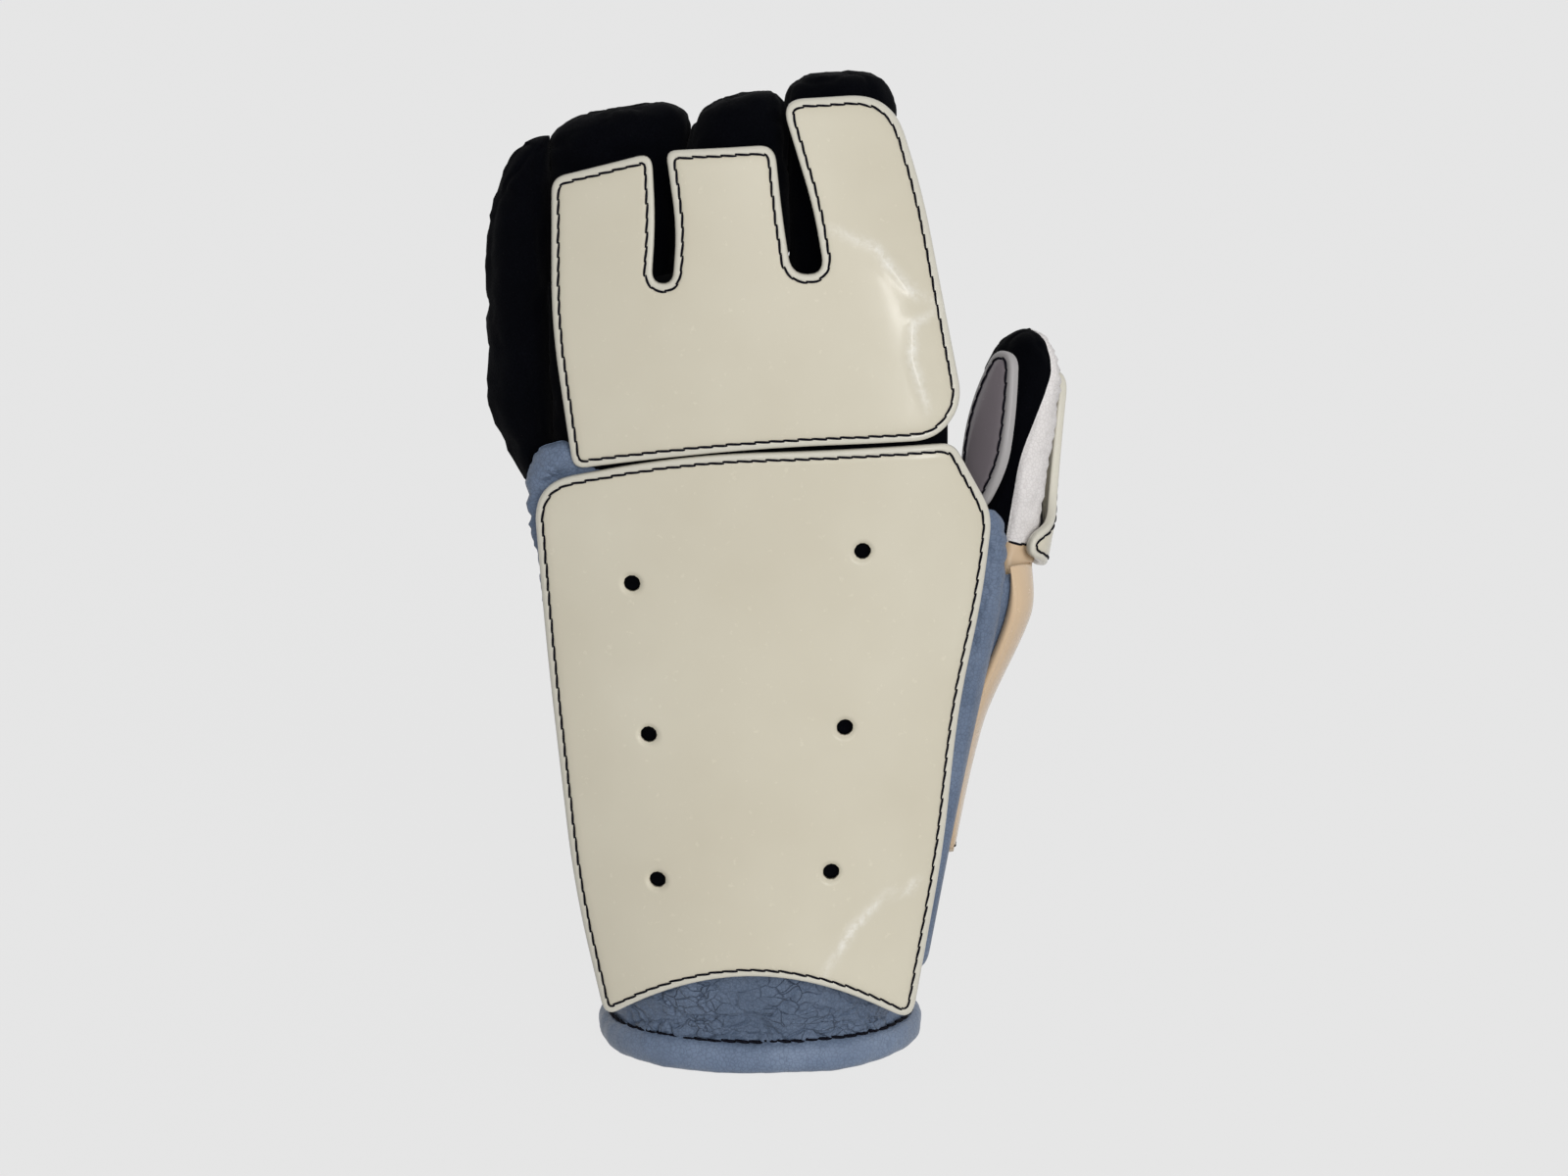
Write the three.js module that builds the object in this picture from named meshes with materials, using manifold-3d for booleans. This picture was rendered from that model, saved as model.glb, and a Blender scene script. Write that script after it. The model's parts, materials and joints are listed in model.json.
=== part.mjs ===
// Left-hand plated goalkeeper glove, standing on its cuff with the fingers up.
// Millimetres. +Z is up, the plates on the back of the hand face -Y, the thumb is on the +X side.
import * as THREE from "three";
import Module from "manifold-3d";
import { mergeVertices } from "three/addons/utils/BufferGeometryUtils.js";

const wasm = await Module();
wasm.setup();

// Thicknesses, and the clearance between pieces that touch
const PLATE = 3;
const LEATHER = 2;
const STALL_WALL = 2.5;
const LINING = 1.2;
const PATCH = 1;
const PAD = 5.5;
const PAD_LEAST = 3;
const PAD_MOST = 8;
const PAD_CLEAR = 1.5;
const PAD_ROUND = 2.4;
const PAD_ROLL = 7;
const FOAM_MARGIN = 4;
const FINGER_FOAM = 3.5;
const THUMB_FOAM = 1.8;
const GAP = 0.5;
const SEAT = 0.3;

// Tunnel for the forearm and hand: reach to each side of the rim's centre at five heights
const RIM = { z: 0, left: 45, right: 45, front: 38, back: 38 };
const FOREARM = { z: 45, left: 53, right: 54, front: 37, back: 36 };
const WRIST = { z: 100, left: 59, right: 70, front: 35, back: 31 };
const THUMB_ROOT = { z: 150, left: 65, right: 82, front: 33, back: 26 };
const KNUCKLE = { z: 187, left: 70, right: 62, front: 32, back: 18 };
const TUNNEL = [RIM, FOREARM, WRIST, THUMB_ROOT, KNUCKLE];
const ROUNDNESS = 2.2;

// Seams of the tunnel in degrees round it: 0 is the thumb side, 90 the palm, 180 the little finger side
const SEAM_BACK_RIGHT = 40;
const SEAM_BACK_LEFT = 140;
const SEAM_FRONT_LEFT = 215;
const SEAM_FRONT_RIGHT = 325;
const SEAM_GAP = 0.5;
const PALM_FROM = 54.5;
const PALM_NOTCH = { low: 0.5, high: 0.62 };
const FRONT_BELOW_KNUCKLE = 5;
const LINING_BELOW_THUMB = 4;
const LINING_CLEAR = 0.75;

// Plates: radius of the back plate at the rim and at the knuckles, curl and crease of the finger plate
const CUFF_RADIUS = 75;
const KNUCKLE_RADIUS = 180;
const FINGER_RADIUS = 170;
const FINGER_LENGTH = 110;
const FINGER_CURL = 12;
const CREASE_X = 15;
const CREASE_UP = 56;
const CREASE_ANGLE = 45;
const CREASE_BEND = 0.0025;
const RIVET_HOLE = 5;

// Knuckle hinge line, and the fold that the palm side leaves open on each side of it
const HINGE_Y = -12;
const FOLD = 20;
const PALM_CREASE = { from: 62, to: 138 };
const LITTLE_CREASE = { from: 141, to: 190 };

// Finger chamber above the knuckles, up to the webs between the fingers
const WEB_LENGTH = 51;
const FINGER_BASE = { z: KNUCKLE.z, left: 55, right: 56, back: 14 };
const WEB = { z: KNUCKLE.z + WEB_LENGTH, left: 57, right: 49, back: -3 };
const CHAMBER = [FINGER_BASE, WEB];

// Finger stalls: centre and half width at the web and near the tip, length from the knuckles, half depth
const RING = { web: -42.5, webHalf: 15.3, tip: -37, tipHalf: 17.6, length: 102.5, depth: 13.5 };
const MIDDLE = { web: -9.3, webHalf: 16.2, tip: -6, tipHalf: 13, length: 107.5, depth: 13.5 };
const INDEX = { web: 28.5, webHalf: 18.5, tip: 23.2, tipHalf: 15.4, length: 113, depth: 13.5 };
const DOME = 0.72;
const BLUNT = 3.2;
const TIP_LEAN = 0.9;

// Little finger: its own sleeve from the knuckles to the tip, and the doorway to the other fingers
const LITTLE = { x: -71.4, y: -8, half: 9.2, depth: 15, length: 91 };
const LITTLE_DOME = 0.6;
const LITTLE_LEAN = 1.35;
const LITTLE_DOORWAY = { up: 5, height: 40, depth: 18 };

// Thumb, in its own frame: X outwards from the hand, Y back round the wrist, Z along the thumb
const THUMB_LIFT = 3.5;
const THUMB_BASE = new THREE.Vector3(71, 9, THUMB_ROOT.z + THUMB_LIFT);
const THUMB_AXIS = new THREE.Vector3(11, 5, 64);
const THUMB_OUT = new THREE.Vector3(0.8, 0.6, 0);
const THUMB = { half: 10, width: 15, taper: 0.5, narrowing: 1, length: 68 };
const THUMB_PLATE_RADIUS = 45;

// Patches of palm leather: share of the way round and along the stall
const STALL_PATCH = { from: 0.1, to: 0.4, low: 0.04 };
const LITTLE_PATCH = { from: 0.12, to: 0.38, low: 0.2 };
const THUMB_PATCH = { from: 0.62, to: 0.92, low: 0.03 };

// Wrist side plate on the thumb side of the cuff: angles at its narrow foot and its wide top
const SIDE_PLATE = { low: 45, lift: 3, footFrom: -16, footTo: 20, topFrom: -20, topTo: 38 };
const SIDE_PLATE_BELOW_THUMB = 1.2;
const FOOT_NARROW = 0.35;
const FOOT_ROUND = 0.25;

// Crotch wall between the thumb and the index finger
const CROTCH = { x: 53.5, up: 8 };

// Hem: rolled binding round the rim, with a cord inside and lips that grip the panels
const CORD_RADIUS = 2.2;
const CORD_CLEAR = 0.8;
const HEM_WALL = 1.6;
const HEM_FLOOR = 1.2;
const HEM_FLAT = 2;
const HEM_TURN = 1.4;
const HEM_TAPER = 0.3;
const HEM_GRIP = 2.2;
const HEM_HALF = CORD_RADIUS + CORD_CLEAR + HEM_WALL;
const CORD_HEIGHT = HEM_FLOOR + CORD_CLEAR + CORD_RADIUS;
const HEM_HEIGHT = CORD_HEIGHT + CORD_RADIUS + CORD_CLEAR + HEM_GRIP;
const HEM_LIP = LEATHER / 2 + GAP;

// Strap across the palm side of the cuff, sewn down at its thumb end
const STRAP = { belowWrist: 8, width: 32, hinge: 50, end: 138, thickness: 2.2 };
const STRAP_PATCH = 1.2;
const PATCH_FROM = 98;
const PATCH_TO = 134;
const PATCH_MARGIN = 4;
const TAB_WIDTH = 7;
const PULL_LENGTH = 8;

// Mesh fineness
const CELL = { across: 11, up: 20 };
const CURVE_STEP = 6;
const LEAST_STEPS = 3;
const MERGE = 1e-3;
const FULL_SIDE = 0.96;
const ROUND_STEPS = 4;
const HOLE_SIDES = 12;
const RING_STEPS = 36;
const CORD_SIDES = 6;

const { lerp, degToRad, smoothstep } = THREE.MathUtils;
const glove = new THREE.Group();
const thumb = new THREE.Group();

function tangent(degrees) {
  return Math.tan(degToRad(degrees));
}

function power(value, exponent) {
  return Math.sign(value) * Math.abs(value) ** exponent;
}

// Smooth value of one field at a height, through the stations in order
function along(stations, field, z) {
  const last = stations.length - 1;
  const height = Math.min(Math.max(z, stations[0].z), stations[last].z);
  let i = 0;
  while (i < last - 1 && stations[i + 1].z <= height) i += 1;
  const slope = (j) => {
    const before = stations[Math.max(j - 1, 0)];
    const after = stations[Math.min(j + 1, last)];
    return (after[field] - before[field]) / (after.z - before.z);
  };
  const step = stations[i + 1].z - stations[i].z;
  const t = (height - stations[i].z) / step;
  const rise = t * t * (3 - 2 * t);
  const leave = step * slope(i) * t * (1 - t) ** 2;
  const arrive = step * slope(i + 1) * t * t * (t - 1);
  return lerp(stations[i][field], stations[i + 1][field], rise) + leave + arrive;
}

// Closed solid from points and triangles, turned to face outwards
function closed(geometry) {
  const joined = mergeVertices(geometry, MERGE);
  const index = joined.index.array;
  const corner = [new THREE.Vector3(), new THREE.Vector3(), new THREE.Vector3()];
  const faces = [];
  let volume = 0;
  for (let i = 0; i < index.length; i += 3) {
    const [a, b, c] = [index[i], index[i + 1], index[i + 2]];
    if (a === b || b === c || c === a) continue;
    faces.push([a, b, c]);
    [a, b, c].forEach((k, n) => corner[n].fromBufferAttribute(joined.attributes.position, k));
    volume += corner[0].dot(corner[1].cross(corner[2]));
  }
  joined.setIndex(faces.flatMap(([a, b, c]) => (volume < 0 ? [a, c, b] : [a, b, c])));
  joined.computeVertexNormals();
  return joined;
}

function fromPoints(points, faces) {
  const geometry = new THREE.BufferGeometry().setFromPoints(points);
  geometry.setIndex(faces);
  return closed(geometry);
}

// Two matching grids of points joined along their edges: a slab, a tube when it wraps, a shell when capped
function joinedGrids(outer, inner, columns, rows, { wraps = false, capped = false } = {}) {
  const points = [];
  const faces = [];
  for (const side of [outer, inner]) {
    for (let row = 0; row <= rows; row += 1) {
      for (let column = 0; column <= columns; column += 1) points.push(side(column / columns, row / rows));
    }
  }
  const at = (side, column, row) => (side * (rows + 1) + row) * (columns + 1) + column;
  const quad = (a, b, c, d) => faces.push(a, b, c, a, c, d);
  for (let row = 0; row < rows; row += 1) {
    for (let column = 0; column < columns; column += 1) {
      quad(at(0, column, row), at(0, column + 1, row), at(0, column + 1, row + 1), at(0, column, row + 1));
      quad(at(1, column, row), at(1, column, row + 1), at(1, column + 1, row + 1), at(1, column + 1, row));
    }
  }
  for (let column = 0; column < columns; column += 1) {
    quad(at(0, column, 0), at(1, column, 0), at(1, column + 1, 0), at(0, column + 1, 0));
    if (capped) continue;
    quad(at(0, column, rows), at(0, column + 1, rows), at(1, column + 1, rows), at(1, column, rows));
  }
  for (let row = 0; row < rows && !wraps; row += 1) {
    quad(at(0, 0, row), at(0, 0, row + 1), at(1, 0, row + 1), at(1, 0, row));
    quad(at(0, columns, row), at(1, columns, row), at(1, columns, row + 1), at(0, columns, row + 1));
  }
  return fromPoints(points, faces);
}

// Ring swept round the rim: `place` gives the point of one section corner at one angle
function sweptRing(section, place) {
  const points = [];
  const faces = [];
  const count = section.length;
  for (let step = 0; step < RING_STEPS; step += 1) {
    for (const [out, up] of section) points.push(place((360 * step) / RING_STEPS, out, up));
  }
  for (let step = 0; step < RING_STEPS; step += 1) {
    const next = (step + 1) % RING_STEPS;
    for (let k = 0; k < count; k += 1) {
      const after = (k + 1) % count;
      const [a, b] = [step * count + k, next * count + k];
      const [c, d] = [next * count + after, step * count + after];
      faces.push(a, b, c, a, c, d);
    }
  }
  return fromPoints(points, faces);
}

// Corners moved inwards by the same distance from both of their sides
function moveIn(corners, inset) {
  const turn = Math.sign(THREE.ShapeUtils.area(corners.map(([x, y]) => ({ x, y }))));
  const place = ([x, y]) => new THREE.Vector2(x, y);
  const normal = (from, to) => {
    const side = place(to).sub(place(from)).normalize();
    return new THREE.Vector2(-side.y, side.x).multiplyScalar(turn);
  };
  return corners.map((corner, i) => {
    const before = normal(corners.at(i - 1), corner);
    const after = normal(corner, corners[(i + 1) % corners.length]);
    const share = inset / (1 + before.dot(after));
    return [...place(corner).addScaledVector(before.add(after), share), corner[2]];
  });
}

// Outline with rounded corners: each corner is its place and how far along both sides its curve reaches
function outline(corners, inset = 0) {
  const moved = moveIn(corners, inset);
  const points = moved.flatMap(([x, z, reach], i) => {
    const corner = new THREE.Vector2(x, z);
    const neighbours = [moved.at(i - 1), moved[(i + 1) % moved.length]];
    const [before, after] = neighbours.map(([nextX, nextZ, nextReach]) => {
      const side = new THREE.Vector2(nextX, nextZ).sub(corner);
      const most = (FULL_SIDE * side.length() * reach) / (reach + nextReach);
      return side.setLength(Math.min(reach, most)).add(corner);
    });
    const steps = Math.max(LEAST_STEPS, Math.ceil(reach / CURVE_STEP));
    return new THREE.QuadraticBezierCurve(before, corner, after).getPoints(steps);
  });
  return THREE.ShapeUtils.isClockWise(points) ? points.reverse() : points;
}

// Polygon cut in pieces along the line where one coordinate has the given value
function split(polygon, axis, value) {
  const loop = [];
  polygon.forEach((point, i) => {
    const next = polygon[(i + 1) % polygon.length];
    loop.push({ point });
    if (point[axis] > value === next[axis] > value) return;
    const share = (value - point[axis]) / (next[axis] - point[axis]);
    loop.push({ point: point.clone().lerp(next, share), crosses: true });
  });
  const other = axis === "x" ? "y" : "x";
  const crossings = loop.filter((node) => node.crosses).sort((a, b) => a.point[other] - b.point[other]);
  for (let i = 0; i < crossings.length; i += 2) {
    [crossings[i].partner, crossings[i + 1].partner] = [crossings[i + 1], crossings[i]];
  }
  loop.forEach((node, i) => Object.assign(node, { next: loop[(i + 1) % loop.length], used: false }));
  const pieces = [];
  for (const start of loop) {
    if (start.used || start.crosses) continue;
    const piece = [];
    for (let node = start; !node.used; node = node.next) {
      node.used = !node.crosses;
      piece.push(node.point);
      if (!node.crosses) continue;
      node = node.partner;
      piece.push(node.point);
    }
    pieces.push(piece);
  }
  return pieces;
}

// Triangles of a flat outline, cut along a grid so that they can bend, and the edges on its border
function gridded(contour) {
  const points = [];
  const index = (place) => {
    const found = points.findIndex((point) => point.distanceTo(place) < MERGE);
    return found < 0 ? points.push(place) - 1 : found;
  };
  const { min, max } = new THREE.Box2().setFromPoints(contour);
  let pieces = [contour];
  for (const [axis, cell] of [["x", CELL.across], ["y", CELL.up]]) {
    for (let value = min[axis] + cell; value < max[axis]; value += cell) {
      pieces = pieces.flatMap((piece) => split(piece, axis, value));
    }
  }
  const faces = [];
  for (const piece of pieces) {
    const corners = piece.map(index);
    for (const [i, j, k] of THREE.ShapeUtils.triangulateShape(piece, [])) {
      const face = [corners[i], corners[j], corners[k]];
      const area = THREE.ShapeUtils.area([piece[i], piece[j], piece[k]]);
      if (new Set(face).size === 3) faces.push(area > 0 ? face : face.reverse());
    }
  }
  const edges = new Map();
  for (const [i, j, k] of faces) {
    for (const edge of [[i, j], [j, k], [k, i]]) edges.set(edge.join(), edge);
  }
  const border = [...edges.values()].filter(([i, j]) => !edges.has([j, i].join()));
  return { points, faces, border };
}

// Flat outline made into a bent sheet: `place` puts a point of the outline at a share of the thickness.
// A rounded sheet is drawn smaller by `round`, and swells by that much half way through.
function bentSheet(contour, place, round = 0) {
  const { points, faces, border } = gridded(contour);
  const outward = points.map(() => new THREE.Vector2());
  for (const [i, j] of border) {
    const side = points[j].clone().sub(points[i]).normalize();
    for (const k of [i, j]) outward[k].add(new THREE.Vector2(side.y, -side.x));
  }
  outward.forEach((direction) => direction.normalize());
  const steps = round > 0 ? ROUND_STEPS : 1;
  const placed = [...Array(steps + 1).keys()].flatMap((step) => points.map((point, i) => {
    const angle = (Math.PI * step) / steps;
    const swelled = point.clone().addScaledVector(outward[i], round * Math.sin(angle));
    return place(swelled.x, swelled.y, (1 - Math.cos(angle)) / 2);
  }));
  const last = steps * points.length;
  const triangles = faces.flatMap(([i, j, k]) => [i, j, k, last + k, last + j, last + i]);
  for (let step = 0; step < steps; step += 1) {
    const [lower, upper] = [step * points.length, (step + 1) * points.length];
    for (const [i, j] of border) {
      triangles.push(lower + j, lower + i, upper + i, lower + j, upper + i, upper + j);
    }
  }
  return fromPoints(placed, triangles);
}

// Layer of the stack in front of the hand, between a near and a far surface
function layer(contour, near, far, round = 0) {
  const place = (x, z, t) => new THREE.Vector3(x, lerp(near(x, z), far(x, z), t), z);
  return bentSheet(contour, place, round);
}

// Three.js primitive with its shared corners merged
function merged(geometry) {
  geometry.deleteAttribute("normal");
  geometry.deleteAttribute("uv");
  return closed(geometry);
}

function toSolid(geometry) {
  return new wasm.Manifold(new wasm.Mesh({
    numProp: 3,
    vertProperties: new Float32Array(geometry.attributes.position.array),
    triVerts: new Uint32Array(geometry.index.array),
  }));
}

function toGeometry(solid) {
  const mesh = solid.getMesh();
  const geometry = new THREE.BufferGeometry();
  geometry.setAttribute("position", new THREE.BufferAttribute(new Float32Array(mesh.vertProperties), 3));
  geometry.setIndex(new THREE.BufferAttribute(new Uint32Array(mesh.triVerts), 1));
  return closed(geometry);
}

const MATERIALS = {
  plate: { color: 0xd0cbb8, roughness: 0.35 },
  tan: { color: 0xa88f78, roughness: 0.5 },
  blue: { color: 0x4e5e76, roughness: 0.6 },
  black: { color: 0x16161c, roughness: 0.9 },
  white: { color: 0xd9d3d3, roughness: 0.6 },
  foam: { color: 0x8a8a86, roughness: 0.9 },
  lining: { color: 0x2a2c33, roughness: 0.9 },
  webbing: { color: 0x1b1d22, roughness: 0.8 },
};
for (const [name, settings] of Object.entries(MATERIALS)) {
  MATERIALS[name] = new THREE.MeshStandardMaterial({ ...settings, name });
}

function add(name, geometry, material, parent = glove) {
  const mesh = new THREE.Mesh(geometry, MATERIALS[material]);
  mesh.name = name;
  parent.add(mesh);
}

// Front of the back plate: convex across the hand, leaning back towards the knuckles
function backSurface(x, z) {
  const centre = -(along(TUNNEL, "front", z) + PAD_CLEAR + PAD + GAP + PLATE);
  const radius = lerp(CUFF_RADIUS, KNUCKLE_RADIUS, z / KNUCKLE.z);
  return centre + x ** 2 / (2 * radius);
}

// Front of the finger plate: curls back towards the tips, and bends again past the crease at the index
function fingerSurface(x, z) {
  const rise = Math.max(0, (z - KNUCKLE.z) / FINGER_LENGTH);
  const angle = degToRad(CREASE_ANGLE);
  const [across, up] = [x - CREASE_X, z - KNUCKLE.z - CREASE_UP];
  const past = Math.max(0, across * Math.cos(angle) + up * Math.sin(angle));
  const curl = FINGER_CURL * rise ** 2 + CREASE_BEND * past ** 2;
  return backSurface(0, KNUCKLE.z) + curl + x ** 2 / (2 * FINGER_RADIUS);
}

function tunnelSection(z) {
  const [left, right, front, back] = ["left", "right", "front", "back"].map((f) => along(TUNNEL, f, z));
  return {
    x: (right - left) / 2,
    y: (back - front) / 2,
    width: (left + right) / 2,
    depth: (front + back) / 2,
  };
}

// Front of the tunnel is kept behind the plate and the least padding
function padSeat(x, z) {
  return backSurface(x, z) + PLATE + GAP + PAD_LEAST + PAD_CLEAR;
}

function tunnelPoint(degrees, z, inset = 0) {
  const section = tunnelSection(z);
  const angle = degToRad(degrees);
  const x = section.x + (section.width - inset) * power(Math.cos(angle), 2 / ROUNDNESS);
  const y = section.y + (section.depth - inset) * power(Math.sin(angle), 2 / ROUNDNESS);
  return new THREE.Vector3(x, Math.sin(angle) < 0 ? Math.max(y, padSeat(x, z) + inset) : y, z);
}

function tunnelFront(x, z) {
  const section = tunnelSection(z);
  const across = Math.min(1, Math.abs(x - section.x) / section.width);
  const y = section.y - section.depth * (1 - across ** ROUNDNESS) ** (1 / ROUNDNESS);
  return Math.max(y, padSeat(x, z));
}

// Wall of the tunnel between two angles, with edges given as a height or a height at an angle,
// and the first angle as one angle or an angle at each share of the height
function wall({ from, to, low, high, inset = 0, thickness = LEATHER, columns = 10, rows = 8 }) {
  const height = (edge, angle) => (typeof edge === "function" ? edge(angle) : edge);
  const at = (u, v, depth) => {
    const angle = lerp(typeof from === "function" ? from(v) : from, to, u);
    return tunnelPoint(angle, lerp(height(low, angle), height(high, angle), v), depth);
  };
  return joinedGrids((u, v) => at(u, v, inset), (u, v) => at(u, v, inset + thickness), columns, rows);
}

// Height of the fixed edge below the knuckle fold, and of the moving edge above it
function foldLow(y) {
  return KNUCKLE.z - GAP - Math.max(0, y - HINGE_Y) * tangent(FOLD);
}

function foldHigh(y) {
  return KNUCKLE.z + GAP + Math.max(0, y - HINGE_Y) * tangent(FOLD);
}

function tunnelFold(degrees) {
  return foldLow(tunnelPoint(degrees, KNUCKLE.z).y);
}

// Height of the fixed edge under the thumb, whose end is square to its own axis
function thumbFloor(degrees) {
  const point = tunnelPoint(degrees, THUMB_ROOT.z);
  const lean = (point.x - THUMB_BASE.x) * THUMB_AXIS.x + (point.y - THUMB_BASE.y) * THUMB_AXIS.y;
  return Math.min(THUMB_ROOT.z, THUMB_BASE.z - lean / THUMB_AXIS.z - 2 * GAP);
}

// Outline drawn from the knuckle line, set at its height
function fromKnuckle(corners) {
  return corners.map(([x, up, reach]) => [x, KNUCKLE.z + up, reach]);
}

function makeBackPlate() {
  const shape = fromKnuckle([
    [-67.3, -6.4, 13], [-22, 3.4, 24], [57.5, 6, 4], [69.6, -16, 6], [67, -40, 12], [59.8, -75, 15],
    [55.5, -119, 15], [46.5, -171.8, 6], [-3, -141.5, 46], [-47, -170.7, 5], [-56, -131, 20],
    [-63.4, -59, 20],
  ]);
  const holes = [[-37.5, -35], [30.7, -25], [-32.8, -80.5], [25.6, -78], [-30.4, -125], [21.6, -122]];
  const back = (x, z) => backSurface(x, z) + PLATE;
  const whole = toSolid(layer(outline(shape), backSurface, back));
  const pierced = fromKnuckle(holes).reduce((rest, [x, z]) => {
    const drill = new THREE.CylinderGeometry(RIVET_HOLE / 2, RIVET_HOLE / 2, 4 * PLATE, HOLE_SIDES);
    return rest.subtract(toSolid(merged(drill.translate(x, back(x, z), z))));
  }, whole);
  add("back_plate", toGeometry(pierced), "plate");
}

// Pad behind the back plate: a leather cover with a rolled edge, and the foam in its pocket
function makeBackPad() {
  const top = -2 * GAP;
  const cover = fromKnuckle([
    [-68.5, top, 9], [57, top, 4], [66, -15.5, 4], [77, -16.5, 8], [77, -41, 14], [62.3, -108, 24],
    [48.5, -166, 5], [-4, -134, 44], [-47.5, -163, 5], [-55.5, -131, 18], [-63, -59, 18],
  ]);
  const near = (x, z) => backSurface(x, z) + PLATE + GAP;
  const far = (x, z) => Math.min(tunnelFront(x, z) - PAD_CLEAR, near(x, z) + PAD_MOST);
  const floor = (x, z) => near(x, z) + LEATHER;
  const whole = toSolid(layer(outline(cover, PAD_ROUND), near, far, PAD_ROUND));
  const pocket = toSolid(layer(outline(cover, PAD_ROLL), floor, (x, z) => far(x, z) + PAD));
  add("back_pad_cover", toGeometry(whole.subtract(pocket)), "blue");
  const foam = layer(outline(cover, PAD_ROLL + GAP), (x, z) => floor(x, z) + GAP, far);
  add("back_pad_foam", foam, "foam");
}

function makeCuff() {
  const low = HEM_HEIGHT - HEM_GRIP;
  const front = { from: SEAM_FRONT_LEFT + SEAM_GAP, to: SEAM_FRONT_RIGHT - SEAM_GAP };
  const left = { from: SEAM_BACK_LEFT + SEAM_GAP, to: SEAM_FRONT_LEFT - SEAM_GAP };
  const right = { from: SEAM_FRONT_RIGHT + SEAM_GAP - 360, to: SEAM_BACK_RIGHT - SEAM_GAP };
  const back = { from: SEAM_BACK_RIGHT + SEAM_GAP, to: SEAM_BACK_LEFT - SEAM_GAP };
  const panels = {
    cuff_front_panel: { ...front, low, high: KNUCKLE.z - FRONT_BELOW_KNUCKLE, columns: 16, rows: 10 },
    cuff_left_panel: { ...left, low, high: tunnelFold, columns: 9, rows: 10 },
    cuff_right_panel: { ...right, low, high: thumbFloor, columns: 9, rows: 10 },
    cuff_palm_panel: { ...back, low, high: WRIST.z - GAP, columns: 14, rows: 7 },
  };
  for (const [name, panel] of Object.entries(panels)) add(name, wall(panel), "blue");
  const notched = (v) => lerp(back.from, PALM_FROM, smoothstep(v, PALM_NOTCH.low, PALM_NOTCH.high));
  const palm = { ...back, from: notched, low: WRIST.z + GAP, high: tunnelFold, columns: 14, rows: 8 };
  add("palm_panel", wall(palm), "white");

  const inset = LEATHER + LINING_CLEAR;
  const lining = (depth) => (u, v) => {
    const z = lerp(HEM_HEIGHT + GAP, THUMB_ROOT.z - LINING_BELOW_THUMB, v);
    return tunnelPoint(360 * u, z, depth);
  };
  const tube = joinedGrids(lining(inset), lining(inset + LINING), RING_STEPS, 8, { wraps: true });
  add("cuff_lining", tube, "lining");
}

function makeSidePlate() {
  const { low, lift, footFrom, footTo, topFrom, topTo } = SIDE_PLATE;
  const high = THUMB_ROOT.z - SIDE_PLATE_BELOW_THUMB;
  const at = (u, v, outset) => {
    const spread = lerp(FOOT_NARROW, 1, Math.sqrt(Math.min(1, v / FOOT_ROUND)));
    const middle = lerp(footFrom + footTo, topFrom + topTo, v) / 2;
    const full = lerp(footTo - footFrom, topTo - topFrom, v);
    return tunnelPoint(middle + full * spread * (u - 0.5), lerp(low, high + lift * u, v), -outset);
  };
  const plate = joinedGrids((u, v) => at(u, v, GAP + PLATE), (u, v) => at(u, v, GAP), 8, 12);
  add("wrist_side_plate", plate, "tan");
}

// Binding round the rim: a roll with a flat foot, whose lips hold the lower edge of the panels
function makeHem() {
  const place = (degrees, out, up) => {
    const at = (angle) => tunnelPoint(angle, HEM_HEIGHT, LEATHER / 2);
    const away = at(degrees + 1).sub(at(degrees - 1)).normalize();
    const here = at(degrees);
    return new THREE.Vector3(here.x + out * away.y, here.y - out * away.x, up);
  };
  const half = (width, lip, foot, floor) => [
    [foot, floor],
    [lerp(width, foot, HEM_TAPER), floor + HEM_TURN],
    [width, CORD_HEIGHT],
    [width - HEM_TAPER, CORD_HEIGHT + CORD_RADIUS],
    [lip, HEM_HEIGHT],
  ];
  const outside = half(HEM_HALF, HEM_LIP + HEM_WALL, HEM_FLAT, 0);
  const inside = half(HEM_HALF - HEM_WALL, HEM_LIP, HEM_FLAT / 2, HEM_FLOOR);
  add("cuff_binding", sweptRing(hemLoop(outside, inside), place), "blue");
  const cord = [...Array(CORD_SIDES).keys()].map((k) => {
    const angle = (2 * Math.PI * k) / CORD_SIDES;
    return [CORD_RADIUS * Math.cos(angle), CORD_HEIGHT + CORD_RADIUS * Math.sin(angle)];
  });
  add("hem_cord", sweptRing(cord, place), "foam");
}

// Loop round the section of the roll: up the outside on one side, down the inside, and the other half back
function hemLoop(outside, inside) {
  const flip = ([out, up]) => [-out, up];
  return [...outside, ...inside.toReversed(), ...inside.map(flip), ...outside.toReversed().map(flip)];
}

function makeKnuckleGusset() {
  const shape = fromKnuckle([[-34, -GAP, 0.5], [50, -GAP, 0.5], [50, 7, 2], [0, 6.6, 8], [-34, 1.4, 1]]);
  const near = (x, z) => fingerSurface(x, z) + PLATE + 2 * GAP;
  add("knuckle_gusset", layer(outline(shape), near, (x, z) => near(x, z) + LEATHER), "black");
}

// Folding leather on the palm side, between the fixed and the moving edges of the knuckle fold
function makeCreases() {
  const strip = ({ from, to }, upper) => {
    const at = (u, v, inset) => {
      const degrees = lerp(from, to, u);
      const fixed = tunnelPoint(degrees, tunnelFold(degrees) + SEAT, inset);
      const moving = upper(degrees, foldHigh(upper(degrees, KNUCKLE.z, inset).y), inset);
      return fixed.lerp(moving.setZ(moving.z - SEAT), v);
    };
    return joinedGrids((u, v) => at(u, v, 0), (u, v) => at(u, v, LEATHER), 8, 1);
  };
  add("palm_crease", strip(PALM_CREASE, chamberPoint), "white");
  add("little_finger_crease", strip(LITTLE_CREASE, tunnelPoint), "black");
}

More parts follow.
